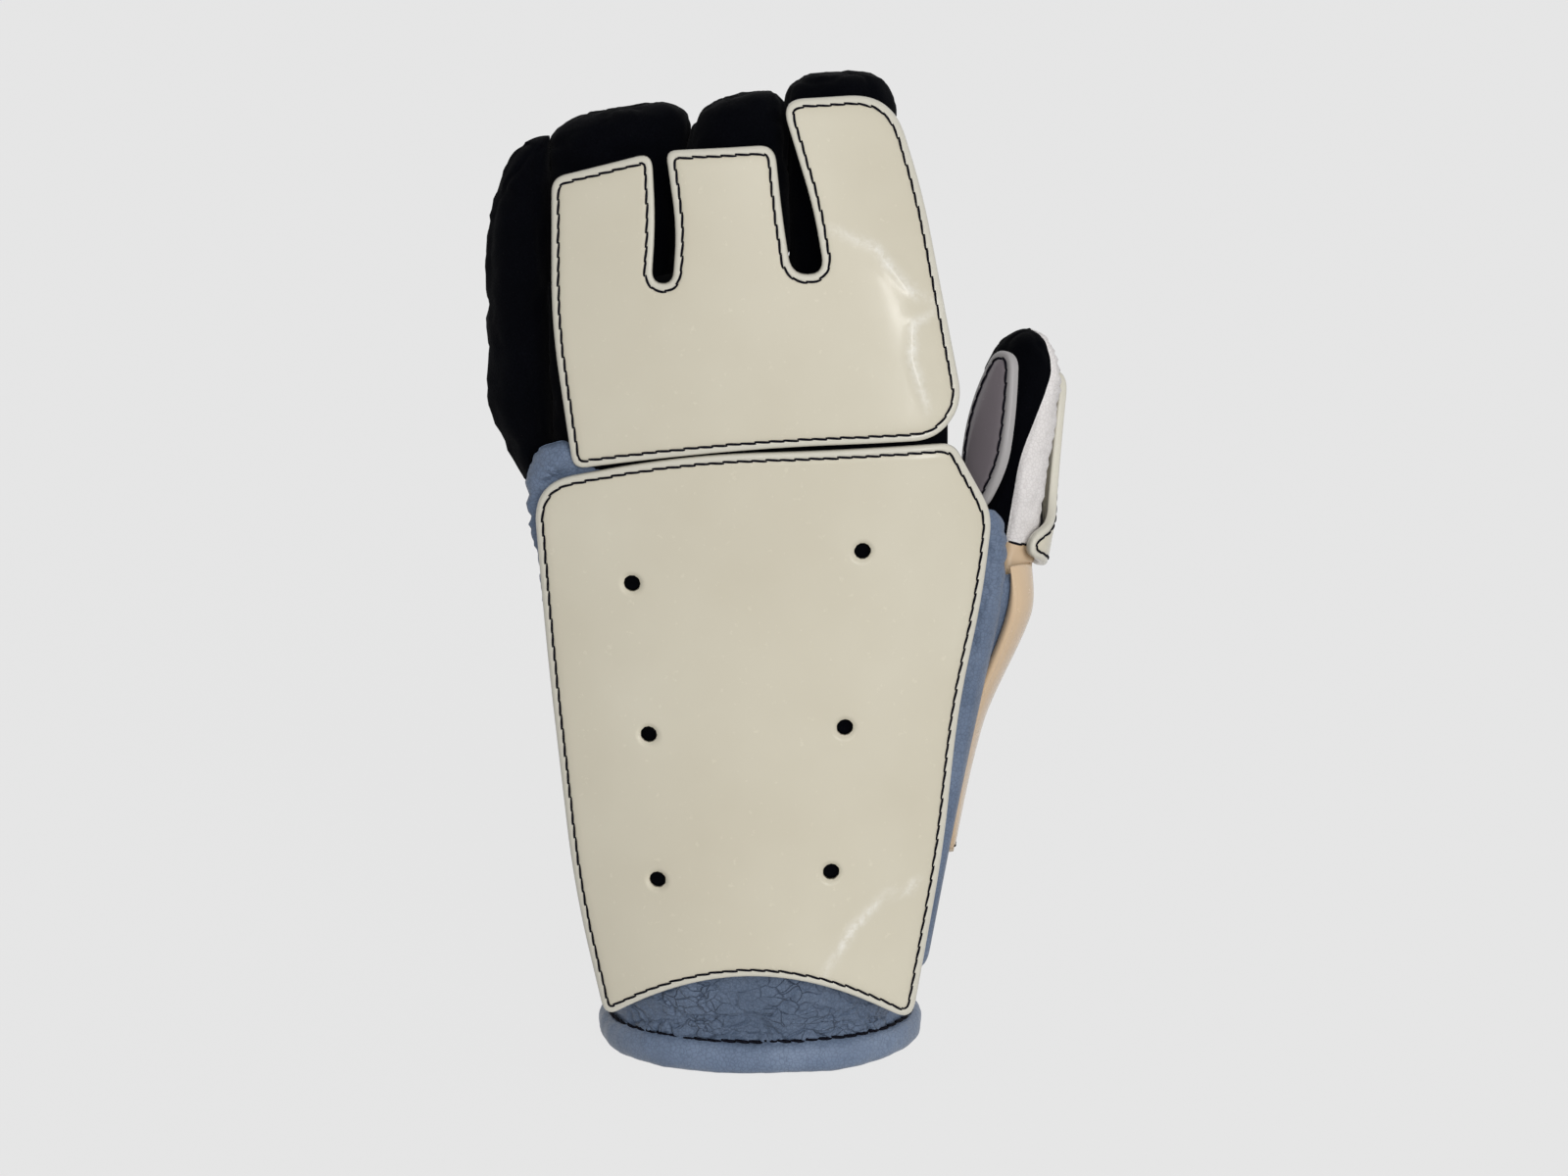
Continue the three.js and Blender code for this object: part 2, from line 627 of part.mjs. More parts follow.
function palmInside(x, z) {
  const section = tunnelSection(z);
  const across = Math.min(1, Math.abs(x - section.x) / (section.width - LEATHER));
  return section.y + (section.depth - LEATHER) * (1 - across ** ROUNDNESS) ** (1 / ROUNDNESS);
}

function makeCrotch() {
  const at = (u, v, x) => {
    const y = (z) => lerp(tunnelFront(x, z) + LEATHER + 2 * GAP, palmInside(x, z) - 2 * GAP, u);
    const z = lerp(THUMB_ROOT.z + CROTCH.up, foldLow(y(KNUCKLE.z)), v);
    return new THREE.Vector3(x, y(z), z);
  };
  const panel = joinedGrids((u, v) => at(u, v, CROTCH.x), (u, v) => at(u, v, CROTCH.x - LEATHER), 6, 3);
  add("crotch_panel", panel, "black");
}

// Strap with its patches: each lies on the one before, outside the palm side of the cuff
function makeStrap() {
  const loop = GAP;
  const hook = loop + STRAP_PATCH + GAP;
  const strap = hook + STRAP_PATCH + GAP;
  const high = WRIST.z - STRAP.belowWrist;
  const low = high - STRAP.width;
  const band = (from, to, outset, thickness, margin, columns) => {
    const height = { low: low + margin, high: high - margin };
    return wall({ from, to, ...height, inset: -outset - thickness, thickness, columns, rows: 3 });
  };
  add("strap_loop_patch", band(PATCH_FROM, PATCH_TO, loop, STRAP_PATCH, PATCH_MARGIN, 8), "webbing");
  add("strap_hook_patch", band(PATCH_FROM, PATCH_TO, hook, STRAP_PATCH, PATCH_MARGIN, 8), "webbing");
  add("wrist_strap", band(STRAP.hinge, STRAP.end, strap, STRAP.thickness, 0, 16), "white");
  const [pullFrom, pullTo] = [STRAP.end + SEAM_GAP, STRAP.end + PULL_LENGTH];
  add("strap_pull_tab", band(pullFrom, pullTo, strap, STRAP.thickness, PATCH_MARGIN, 3), "black");
  const [tabFrom, tabTo] = [STRAP.hinge - TAB_WIDTH, STRAP.hinge - SEAM_GAP];
  add("strap_anchor_tab", band(tabFrom, tabTo, loop, strap + STRAP.thickness - loop, 0, 3), "white");
}

function chamberSection(z) {
  const [left, right, back] = ["left", "right", "back"].map((field) => along(CHAMBER, field, z));
  const front = fingerSeat(0, z);
  return {
    x: (right - left) / 2,
    y: (back + front) / 2,
    width: (left + right) / 2,
    depth: (back - front) / 2,
  };
}

function fingerSeat(x, z) {
  return fingerSurface(x, z) + PLATE + FINGER_FOAM + 2 * GAP;
}

function chamberPoint(degrees, z, inset) {
  const section = chamberSection(z);
  const angle = degToRad(degrees);
  const x = section.x + (section.width - inset) * power(Math.cos(angle), 2 / ROUNDNESS);
  const y = section.y + (section.depth - inset) * power(Math.sin(angle), 2 / ROUNDNESS);
  return new THREE.Vector3(x, Math.sin(angle) < 0 ? Math.max(y, fingerSeat(x, z) + inset) : y, z);
}

function makeFingerPlate() {
  const shape = fromKnuckle([
    [-54.6, -0.4, 3], [-61, 41, 14], [-60.8, 83.5, 4], [-31, 91.6, 4.5], [-30, 72, 8], [-31.2, 54, 4],
    [-25, 54, 3.5], [-23.8, 70, 8], [-27, 92.2, 3], [4.8, 94, 5], [6.8, 75, 8], [9.6, 57, 5],
    [19.4, 56.8, 5.5], [16, 76, 8], [6.4, 106.6, 5], [38.6, 107.5, 6], [48.3, 79, 12], [60.4, 17.5, 7], [52.5, 7.6, 7],
    [2, 8.2, 22], [-36, 2.2, 14],
  ]);
  add("finger_plate", layer(outline(shape), fingerSurface, (x, z) => fingerSurface(x, z) + PLATE), "plate");
  const near = (x, z) => fingerSurface(x, z) + PLATE + GAP;
  const foam = layer(outline(shape, FOAM_MARGIN), near, (x, z) => near(x, z) + FINGER_FOAM);
  add("finger_pad_foam", foam, "foam");
}

function makeChamber() {
  const panel = (from, to, columns) => {
    const at = (u, v, inset) => {
      const degrees = lerp(from + SEAM_GAP, to - SEAM_GAP, u);
      const base = foldHigh(chamberPoint(degrees, KNUCKLE.z, inset).y);
      return chamberPoint(degrees, lerp(base, WEB.z, v), inset);
    };
    return joinedGrids((u, v) => at(u, v, 0), (u, v) => at(u, v, LEATHER), columns, 4);
  };
  add("finger_back_panel", panel(SEAM_FRONT_LEFT, SEAM_FRONT_RIGHT, 14), "black");
  add("finger_side_panel", panel(SEAM_FRONT_RIGHT - 360, SEAM_BACK_RIGHT, 7), "black");
  add("finger_palm_panel", panel(SEAM_BACK_RIGHT, SEAM_BACK_LEFT, 12), "white");
}

// Centre of a stall's section that just clears the padding in front of it
function stallCentre(x, half, depth, z) {
  let centre = -Infinity;
  for (let degrees = 180; degrees <= 360; degrees += 10) {
    const angle = degToRad(degrees);
    const seat = fingerSeat(x + half * power(Math.cos(angle), 2 / ROUNDNESS), z);
    centre = Math.max(centre, seat - depth * power(Math.sin(angle), 2 / ROUNDNESS));
  }
  return centre;
}

// Share of the full section that is left where a stall rounds over at its tip
function dome(v, from = DOME, blunt = 2) {
  return (1 - Math.max(0, (v - from) / (1 - from)) ** blunt) ** (1 / blunt);
}

// Rows crowd towards the tip, where the stall rounds over
function domeSpacing(v) {
  return Math.sin((v * Math.PI) / 2);
}

function stallPoint(finger, u, v, inset) {
  const angle = 2 * Math.PI * u;
  const low = WEB.z + GAP;
  const top = KNUCKLE.z + finger.length;
  const z = lerp(low, top - inset, v);
  const rise = (z - low) / (top - low);
  const x = lerp(finger.web, finger.tip, rise);
  const half = lerp(finger.webHalf, finger.tipHalf, rise);
  const y = stallCentre(x, half, finger.depth, Math.min(z, lerp(low, top, TIP_LEAN)));
  const share = dome(v, DOME, BLUNT);
  return new THREE.Vector3(
    x + (half - inset) * share * power(Math.cos(angle), 2 / ROUNDNESS),
    y + (finger.depth - inset) * share * power(Math.sin(angle), 2 / ROUNDNESS),
    z,
  );
}

// Patch of palm leather on a stall, given the function that places a point of the stall
function patch({ from, to, low }, point, columns, rows) {
  const at = (u, v, outset) => point(lerp(from, to, u), lerp(low, DOME, v), -outset);
  return joinedGrids((u, v) => at(u, v, GAP + PATCH), (u, v) => at(u, v, GAP), columns, rows);
}

// Stall open at its foot and domed at its tip
function stall(point, columns, rows) {
  const at = (inset) => (u, v) => point(u, domeSpacing(v), inset);
  return joinedGrids(at(0), at(STALL_WALL), columns, rows, { wraps: true, capped: true });
}

function makeStalls() {
  for (const [name, finger] of Object.entries({ ring: RING, middle: MIDDLE, index: INDEX })) {
    const point = (u, v, inset) => stallPoint(finger, u, v, inset);
    add(`${name}_stall`, stall(point, 18, 7), "black");
    add(`${name}_palm`, patch(STALL_PATCH, point, 6, 4), "white");
  }
}

function littlePoint(u, v, inset) {
  const angle = 2 * Math.PI * u;
  const z = lerp(KNUCKLE.z + GAP, KNUCKLE.z + LITTLE.length - inset, v);
  const share = dome(v, LITTLE_DOME);
  const x = LITTLE.x + LITTLE_LEAN * LITTLE.half * (1 - share);
  return new THREE.Vector3(
    x + (LITTLE.half - inset) * share * power(Math.cos(angle), 2 / ROUNDNESS),
    LITTLE.y + (LITTLE.depth - inset) * share * power(Math.sin(angle), 2 / ROUNDNESS),
    z,
  );
}

// Sleeve of the little finger: cut off at the knuckle fold, with a doorway to the other fingers
function makeLittleFinger() {
  const below = new THREE.BoxGeometry(4 * LITTLE.half, 4 * LITTLE.depth, LITTLE.length);
  below.translate(0, 0, -LITTLE.length / 2).rotateX(degToRad(FOLD));
  below.translate(LITTLE.x, HINGE_Y, KNUCKLE.z + GAP);
  const { up, height, depth } = LITTLE_DOORWAY;
  const doorway = new THREE.BoxGeometry(LITTLE.half, depth, height);
  doorway.translate(LITTLE.x + LITTLE.half, LITTLE.y, KNUCKLE.z + up + height / 2);
  const sleeve = toSolid(stall(littlePoint, 20, 9));
  const cut = sleeve.subtract(toSolid(merged(below))).subtract(toSolid(merged(doorway)));
  add("little_finger_stall", toGeometry(cut), "black");
  add("little_finger_palm", patch(LITTLE_PATCH, littlePoint, 6, 4), "white");
}

function thumbPoint(u, v, inset) {
  const angle = 2 * Math.PI * u;
  return new THREE.Vector3(
    (THUMB.half - THUMB.taper * v - inset) * dome(v) * power(Math.cos(angle), 2 / ROUNDNESS),
    (THUMB.width - THUMB.narrowing * v - inset) * dome(v) * power(Math.sin(angle), 2 / ROUNDNESS),
    v * (THUMB.length - inset),
  );
}

function makeThumb() {
  const axis = THUMB_AXIS.clone().normalize();
  const out = THUMB_OUT.clone().addScaledVector(axis, -THUMB_OUT.dot(axis)).normalize();
  thumb.position.copy(THUMB_BASE);
  thumb.quaternion.setFromRotationMatrix(new THREE.Matrix4().makeBasis(out, axis.clone().cross(out), axis));
  add("thumb_stall", stall(thumbPoint, 18, 8), "black", thumb);
  add("thumb_palm", patch(THUMB_PATCH, thumbPoint, 7, 5), "white", thumb);

  const sheet = (contour, side, offset, thickness) => bentSheet(contour, (across, up, t) => {
    const x = offset + thickness * t - across ** 2 / (2 * THUMB_PLATE_RADIUS);
    return new THREE.Vector3(side * x, across, up);
  });
  const foamAt = THUMB.half + GAP;
  const plateAt = foamAt + THUMB_FOAM + GAP;
  const leaf = [
    [-3, 61.5, 6], [5.5, 40, 14], [2.5, 19, 8], [-9.5, 11.5, 5], [-16.5, 25, 10], [-16, 44, 14],
    [-12.5, 60.5, 5],
  ];
  add("thumb_inner_plate", sheet(outline(leaf), -1, plateAt, PLATE), "plate", thumb);
  add("thumb_inner_foam", sheet(outline(leaf, FOAM_MARGIN), -1, foamAt, THUMB_FOAM), "foam", thumb);
  const shield = [[-4, 56, 7], [-5.5, 26, 14], [-7, 2, 3], [12, 9, 3], [12.5, 30, 14], [8, 56, 7]];
  add("thumb_outer_plate", sheet(outline(shield), 1, plateAt, PLATE), "plate", thumb);
  add("thumb_outer_foam", sheet(outline(shield, FOAM_MARGIN), 1, foamAt, THUMB_FOAM), "foam", thumb);
  glove.add(thumb);
}

makeBackPlate();
makeBackPad();
makeCuff();
makeSidePlate();
makeHem();
makeKnuckleGusset();
makeCreases();
makeCrotch();
makeStrap();
makeFingerPlate();
makeChamber();
makeStalls();
makeLittleFinger();
makeThumb();

// The origin is under the middle of the whole glove
glove.updateMatrixWorld(true);
const box = new THREE.Box3().setFromObject(glove, true);
const middle = box.getCenter(new THREE.Vector3());
glove.position.set(-middle.x, -middle.y, -box.min.z);

export default glove;
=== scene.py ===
"""Looks of a left-hand plated goalkeeper glove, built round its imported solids.

Sizes are in millimetres in the glove's drawing frame, whose origin is under the middle of the cuff rim.
A relief is a sum of heights, each times a noise whose features have the size that is given with it.
"""
import json
import math

import bmesh
import bpy
import numpy as np
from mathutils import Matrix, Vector, noise
from mathutils.geometry import delaunay_2d_cdt

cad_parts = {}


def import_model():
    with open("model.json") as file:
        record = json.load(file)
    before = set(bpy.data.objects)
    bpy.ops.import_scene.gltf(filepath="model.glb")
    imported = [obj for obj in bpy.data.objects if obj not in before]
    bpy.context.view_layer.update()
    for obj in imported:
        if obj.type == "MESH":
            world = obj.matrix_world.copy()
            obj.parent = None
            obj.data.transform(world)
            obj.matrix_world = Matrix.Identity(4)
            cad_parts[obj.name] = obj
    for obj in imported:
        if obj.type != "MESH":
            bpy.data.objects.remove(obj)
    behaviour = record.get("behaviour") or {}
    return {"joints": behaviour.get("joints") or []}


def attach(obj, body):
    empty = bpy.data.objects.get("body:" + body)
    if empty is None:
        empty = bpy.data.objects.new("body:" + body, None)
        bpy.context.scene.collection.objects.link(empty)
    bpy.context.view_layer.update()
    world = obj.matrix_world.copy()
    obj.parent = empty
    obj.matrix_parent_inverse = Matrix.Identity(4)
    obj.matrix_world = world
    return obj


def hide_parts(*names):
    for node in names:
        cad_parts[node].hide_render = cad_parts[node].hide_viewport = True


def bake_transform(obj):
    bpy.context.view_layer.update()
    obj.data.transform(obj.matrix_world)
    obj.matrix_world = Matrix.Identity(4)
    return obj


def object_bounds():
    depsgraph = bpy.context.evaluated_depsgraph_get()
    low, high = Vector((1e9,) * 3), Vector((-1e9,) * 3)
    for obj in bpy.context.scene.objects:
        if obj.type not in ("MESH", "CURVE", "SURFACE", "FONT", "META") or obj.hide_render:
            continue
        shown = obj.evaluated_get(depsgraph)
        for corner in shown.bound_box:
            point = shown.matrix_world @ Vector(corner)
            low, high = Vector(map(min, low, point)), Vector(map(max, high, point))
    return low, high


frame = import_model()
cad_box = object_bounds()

MM = 0.001

# Thicknesses and clearances of the solids
PLATE = 3.0
LEATHER = 2.0
STALL_WALL = 2.5
PATCH = 1.0
PAD = 5.5
PAD_LEAST = 3.0
PAD_MOST = 8.0
PAD_CLEAR = 1.5
FINGER_FOAM = 3.5
THUMB_FOAM = 1.8
GAP = 0.5

# Tunnel for the forearm and hand: height, then reach to the left, right, front and back of the rim's centre
TUNNEL = np.array([
    [0, 45, 45, 38, 38],
    [45, 53, 54, 37, 36],
    [100, 59, 65, 35, 31],
    [150, 65, 82, 33, 26],
    [187, 70, 62, 32, 18],
], float)
WRIST_Z, THUMB_ROOT_Z, KNUCKLE_Z = TUNNEL[2:, 0]
ROUNDNESS = 2.2

# Seams of the tunnel in degrees: 0 is the thumb side, 90 the palm, 180 the little finger side
SEAM_BACK_RIGHT = 40
SEAM_BACK_LEFT = 140
SEAM_FRONT_LEFT = 215
SEAM_FRONT_RIGHT = 325

# Curves of the plates, and the fold of the leather at the knuckles
CUFF_RADIUS = 75
KNUCKLE_RADIUS = 180
FINGER_RADIUS = 170
FINGER_LENGTH = 110
FINGER_CURL = 12
CREASE_X = 15
CREASE_UP = 56
CREASE_BEND = 0.0025
RIVET_HOLE = 5
HINGE_Y = -12
FOLD = 20

# Edges of the plates: front and back radius, pressed rim, groove for the stitches, countersinks, creases
EDGE_RADIUS = 1.2
BACK_EDGE = 0.6
RIM_DROP = 0.16
RIM_SPAN = 2.1, 4.2
GROOVE_DEPTH = 0.16
GROOVE_WIDTH = 0.42
SINK_DEPTH = 0.9
SINK_WIDTH = 1.4
CREASE_RISE = 0.3
CREASE_WIDTH = 1.5

# Finger chamber: height, then reach to the left, right and back
WEB_Z = KNUCKLE_Z + 51
CHAMBER = np.array([[KNUCKLE_Z, 62.6, 56, 14], [WEB_Z, 62.8, 49, -3]], float)
LID_RISE = 3.5
TIP_DOME = 0.78
BLUNT = 3.2
TIP_LEAN = 0.9
SLOPE_SPAN = 0.55, 0.95
STALLS = {
    "ring": dict(web=-44.2, web_half=18.6, tip=-40.8, tip_half=22, length=102.5, depth=13.5, slope=3.2),
    "middle": dict(web=-8.3, web_half=17.5, tip=-5.4, tip_half=14.2, length=107.0, depth=13.5, slope=2.4),
    "index": dict(web=28.2, web_half=19.6, tip=23.2, tip_half=16, length=113, depth=13.5, slope=0.3),
}
LITTLE = dict(x=-71.3, y=-8, half=9.9, depth=15, length=94.5, dome=0.6, blunt=2.2, lean=0.95)
LITTLE_TUCK = dict(foot=168, start=171, over=30, across=7.75, back=5)
GRIP_SINK = 0.5

# Thumb frame: `out` away from the hand, `round` back round the wrist, `up` along the thumb
THUMB_BASE = np.array([71, 9, THUMB_ROOT_Z + 3.5])
THUMB_AXIS = np.array([11, 5, 64], float)
THUMB_OUT = np.array([0.8, 0.6, 0])
THUMB = dict(half=10, width=15, taper=0.5, narrowing=2, length=68, dome=0.72, blunt=2)
THUMB_TUCK = dict(foot=-16, end=-1, across=7, narrowed=0.25)
THUMB_PLATE_RADIUS = 45
THUMB_WRAP = 0.7 * np.pi
THUMB_FACING = 3.0

# Roll of the back pad, hem, height at which the panels' widths are measured, wrist guard, strap
ROLL = 8.5
ROLL_BULGE = 2.6
HEM_HALF = 4.6
HEM_HEIGHT = 9.4
HEM_OVERLAP = 2.2
HEM_SQUARENESS = 0.85
GIRTH_Z = 60.0
GUARD = dict(foot=(-21, 20), top=(-26, 38), low=60, below_root=1.2, lift=3, front_lift=4,
             thinning=2.4, thin_over=18, least=0.3, seam=2.5)
STRAP_LOW = 60
STRAP_HIGH = 92
STRAP_HINGE = 50
STRAP_END = 138
STRAP_THICKNESS = 2.2
STRAP_PATCH = 1.2
STRAP_SEAM = 2.5
STRAP_MARGIN = 4
TAPE_SPAN = 98, 134

# Camera: the photograph's height of view, lens and aim
CAMERA_ELEVATION = 12
CAMERA_DISTANCE = 1200
CAMERA_LENS = 90
CAMERA_AIM = np.array([7.5, 0, 142.5])
BACKDROP = (0.815, 0.815, 0.815)
FLOOR_REACH = 80

# Stitching: distance from an edge, spacing, length, radius and its share at the ends, lift, dip, slant
STITCH_INSET = 2.2
STITCH_PITCH = 4.2
STITCH_LENGTH = 4.7
THREAD = 0.37
STITCH_ENDS = 0.7
STITCH_LIFT = 0.26
STITCH_DIP = 0.04
STITCH_SLANT = 0.5
STITCH_SWAY = 0.08
SEAM_STEP = 0.8

knuckle = next(j for j in frame["joints"] if j["name"] == "knuckle_flex")
SHIFT = np.array(knuckle["pos_m"]) / MM - np.array([0, HINGE_Y, KNUCKLE_Z])


def world(points):
    return (np.asarray(points, float) + SHIFT) * MM


def lerp(a, b, t):
    return a + (b - a) * t


def smooth(low, high, value):
    t = np.clip((value - low) / (high - low), 0, 1)
    return t * t * (3 - 2 * t)


def bump(value, centre, width):
    return np.exp(-(((value - centre) / width) ** 2))


def power(value, exponent):
    return np.sign(value) * np.abs(value) ** exponent


def rounded(value):
    """Sine or cosine bent so that it draws the glove's blunt oval."""
    return power(value, 2 / ROUNDNESS)


def xyz(x, y, z):
    return np.stack(np.broadcast_arrays(x, y, z), -1).astype(float)


def unit(vectors):
    return vectors / np.maximum(np.linalg.norm(vectors, axis=-1, keepdims=True), 1e-9)


def raised(places, normals, height):
    return places + normals * np.asarray(height)[..., None]


def with_normals(point, *places, inset=0.0, step=0.5):
    """Points of a surface that can be inset, and the directions in which they leave it."""
    flat = point(*places, inset)
    return flat, unit(point(*places, inset - step) - flat)


def ring(count, full=2 * np.pi):
    """Even steps of a full turn, without its end."""
    return np.linspace(0, full, count + 1)[:-1]


def to_tip(rows):
    """Shares from 0 to 1 that crowd towards a tip."""
    return np.sin(np.linspace(0, 1, rows) * np.pi / 2)


def shares(columns, rows):
    """Shares across and up a piece, as two grids."""
    return np.meshgrid(np.linspace(0, 1, columns), np.linspace(0, 1, rows))


def cloud(points, size, octaves=3):
    """Soft noise at the points, about -1 to 1, with features of the given size."""
    points = np.asarray(points)
    values = [noise.fractal(Vector(p), 1.0, 2.0, octaves) for p in points.reshape(-1, 3) / size]
    return np.array(values).reshape(points.shape[:-1])


def cracks(points, size, width):
    """1 along the borders of irregular cells of the given size, 0 inside them."""
    points = np.asarray(points)
    values = []
    for p in points.reshape(-1, 3) / size:
        near, far = noise.voronoi(Vector(p))[0][:2]
        values.append(far - near)
    return np.exp(-((np.array(values).reshape(points.shape[:-1]) / width) ** 2))


def wandering(points, reach, size, shifts=(0, 50, 90)):
    """Points moved about by soft noise, so that cracks drawn at them wander."""
    return points + reach * np.stack([cloud(points + shift, size) for shift in shifts], -1)


# Surfaces shared with the solids


def along(stations, column, z):
    """Smooth value of one column of the stations at the heights z."""
    heights, values = stations[:, 0], stations[:, column]
    last = len(heights) - 1
    before = np.maximum(np.arange(last + 1) - 1, 0)
    after = np.minimum(np.arange(last + 1) + 1, last)
    slopes = (values[after] - values[before]) / (heights[after] - heights[before])
    z = np.clip(z, heights[0], heights[-1])
    i = np.clip(np.searchsorted(heights, z, "right") - 1, 0, last - 1)
    step = heights[i + 1] - heights[i]
    t = (z - heights[i]) / step
    leave = step * slopes[i] * t * (1 - t) ** 2
    arrive = step * slopes[i + 1] * t * t * (t - 1)
    return lerp(values[i], values[i + 1], t * t * (3 - 2 * t)) + leave + arrive


def back_surface(x, z):
    centre = -(along(TUNNEL, 3, z) + PAD_CLEAR + PAD + GAP + PLATE)
    return centre + x**2 / (2 * lerp(CUFF_RADIUS, KNUCKLE_RADIUS, z / KNUCKLE_Z))


def finger_surface(x, z):
    rise = np.maximum(0, (z - KNUCKLE_Z) / FINGER_LENGTH)
    past = np.maximum(0, (x - CREASE_X + z - KNUCKLE_Z - CREASE_UP) * math.sqrt(0.5))
    base = back_surface(0.0, np.array(KNUCKLE_Z))
    return base + FINGER_CURL * rise**2 + CREASE_BEND * past**2 + x**2 / (2 * FINGER_RADIUS)


def pad_seat(x, z):
    return back_surface(x, z) + PLATE + GAP + PAD_LEAST + PAD_CLEAR


def finger_seat(x, z):
    return finger_surface(x, z) + PLATE + FINGER_FOAM + 2 * GAP


def oval(section, degrees, z, inset, seat):
    """Points round a section, given as its centre and half sizes, whose front stays behind a seat."""
    x0, y0, width, depth = section
    turn = np.radians(degrees)
    x = x0 + (width - inset) * rounded(np.cos(turn))
    y = y0 + (depth - inset) * rounded(np.sin(turn))
    return xyz(x, np.where(np.sin(turn) < 0, np.maximum(y, seat(x, z) + inset), y), z)


def tunnel_section(z):
    left, right, front, back = (along(TUNNEL, k, z) for k in (1, 2, 3, 4))
    return (right - left) / 2, (back - front) / 2, (left + right) / 2, (front + back) / 2


def tunnel_point(degrees, z, inset=0.0):
    return oval(tunnel_section(z), degrees, z, inset, pad_seat)


def tunnel_front(x, z):
    x0, y0, width, depth = tunnel_section(z)
    across = np.minimum(1, np.abs(x - x0) / width)
    return np.maximum(y0 - depth * (1 - across**ROUNDNESS) ** (1 / ROUNDNESS), pad_seat(x, z))


def chamber_point(degrees, z, inset=0.0):
    left, right, back = (along(CHAMBER, k, z) for k in (1, 2, 3))
    front = finger_seat(np.zeros_like(z), z)
    section = (right - left) / 2, (back + front) / 2, (left + right) / 2, (back - front) / 2
    return oval(section, degrees, z, inset, finger_seat)


def fold(y, side):
    """Height at which the leather ends so that the knuckles can fold: side 1 above them, -1 below."""
    return KNUCKLE_Z + side * (GAP + np.maximum(0, y - HINGE_Y) * math.tan(math.radians(FOLD)))


def dome(v, start, blunt):
    """Share of the full section that is left where a stall rounds over at its tip."""
    return np.maximum(0, 1 - np.maximum(0, (v - start) / (1 - start)) ** blunt) ** (1 / blunt)


def stall_point(finger, u, v, inset):
    low, top = WEB_Z + GAP, KNUCKLE_Z + finger["length"]
    z = lerp(low, top - inset, v)
    rise = (z - low) / (top - low)
    x = lerp(finger["web"], finger["tip"], rise)
    half = lerp(finger["web_half"], finger["tip_half"], rise)
    height = np.minimum(z, lerp(low, top, TIP_LEAN))
    centre = np.full(np.shape(x), -np.inf)
    for turn in np.radians(range(180, 361, 10)):
        seat = finger_seat(x + half * rounded(np.cos(turn)), height)
        centre = np.maximum(centre, seat - finger["depth"] * rounded(np.sin(turn)))
    angle = 2 * np.pi * u
    share = dome(v, TIP_DOME, BLUNT)
    across = share * rounded(np.cos(angle))
    y = centre + (finger["depth"] - inset) * share * rounded(np.sin(angle))
    return xyz(x + (half - inset) * across, y, z + finger["slope"] * across * smooth(*SLOPE_SPAN, v))


UP = unit(THUMB_AXIS)
OUT = unit(THUMB_OUT - THUMB_OUT.dot(UP) * UP)
ROUND = np.cross(UP, OUT)


def thumb_place(out, around, up):
    out, around, up = np.broadcast_arrays(out, around, up)
    return THUMB_BASE + out[..., None] * OUT + around[..., None] * ROUND + up[..., None] * UP


# Materials


class Nodes:
    """A node tree with a short way to add nodes and link them."""

    def __init__(self, owner):
        owner.use_nodes = True
        self.tree = owner.node_tree

    def put(self, value, socket):
        """Link an output to a socket, or set the socket to a constant."""
        if isinstance(value, bpy.types.NodeSocket):
            self.tree.links.new(value, socket)
        else:
            socket.default_value = (*value, 1) if socket.type == "RGBA" else value

    def node(self, kind, *values, settings=None, **inputs):
        """New node with values for its first sockets in order and for sockets by name."""
        node = self.tree.nodes.new("ShaderNode" + kind)
        for key, value in (settings or {}).items():
            setattr(node, key, value)
        for socket, value in zip(node.inputs, values):
            self.put(value, socket)
        for key, value in inputs.items():
            self.put(value, node.inputs[key.replace("_", " ")])
        return node

    def maths(self, operation, a, b):
        return self.node("Math", a, b, settings={"operation": operation}).outputs[0]

    def backdrop_rays(self):
        """1 for rays that see the plain backdrop: from the camera, in reflections and through glass."""
        path = self.node("LightPath").outputs
        seen = self.maths("MAXIMUM", path["Is Camera Ray"], path["Is Glossy Ray"])
        return self.maths("MAXIMUM", seen, path["Is Transmission Ray"])

    def blend_shaders(self, share, first, second, end):
        mixed = self.node("MixShader", share, first.outputs[0], second.outputs[0])
        self.put(mixed.outputs[0], self.tree.nodes[end].inputs["Surface"])


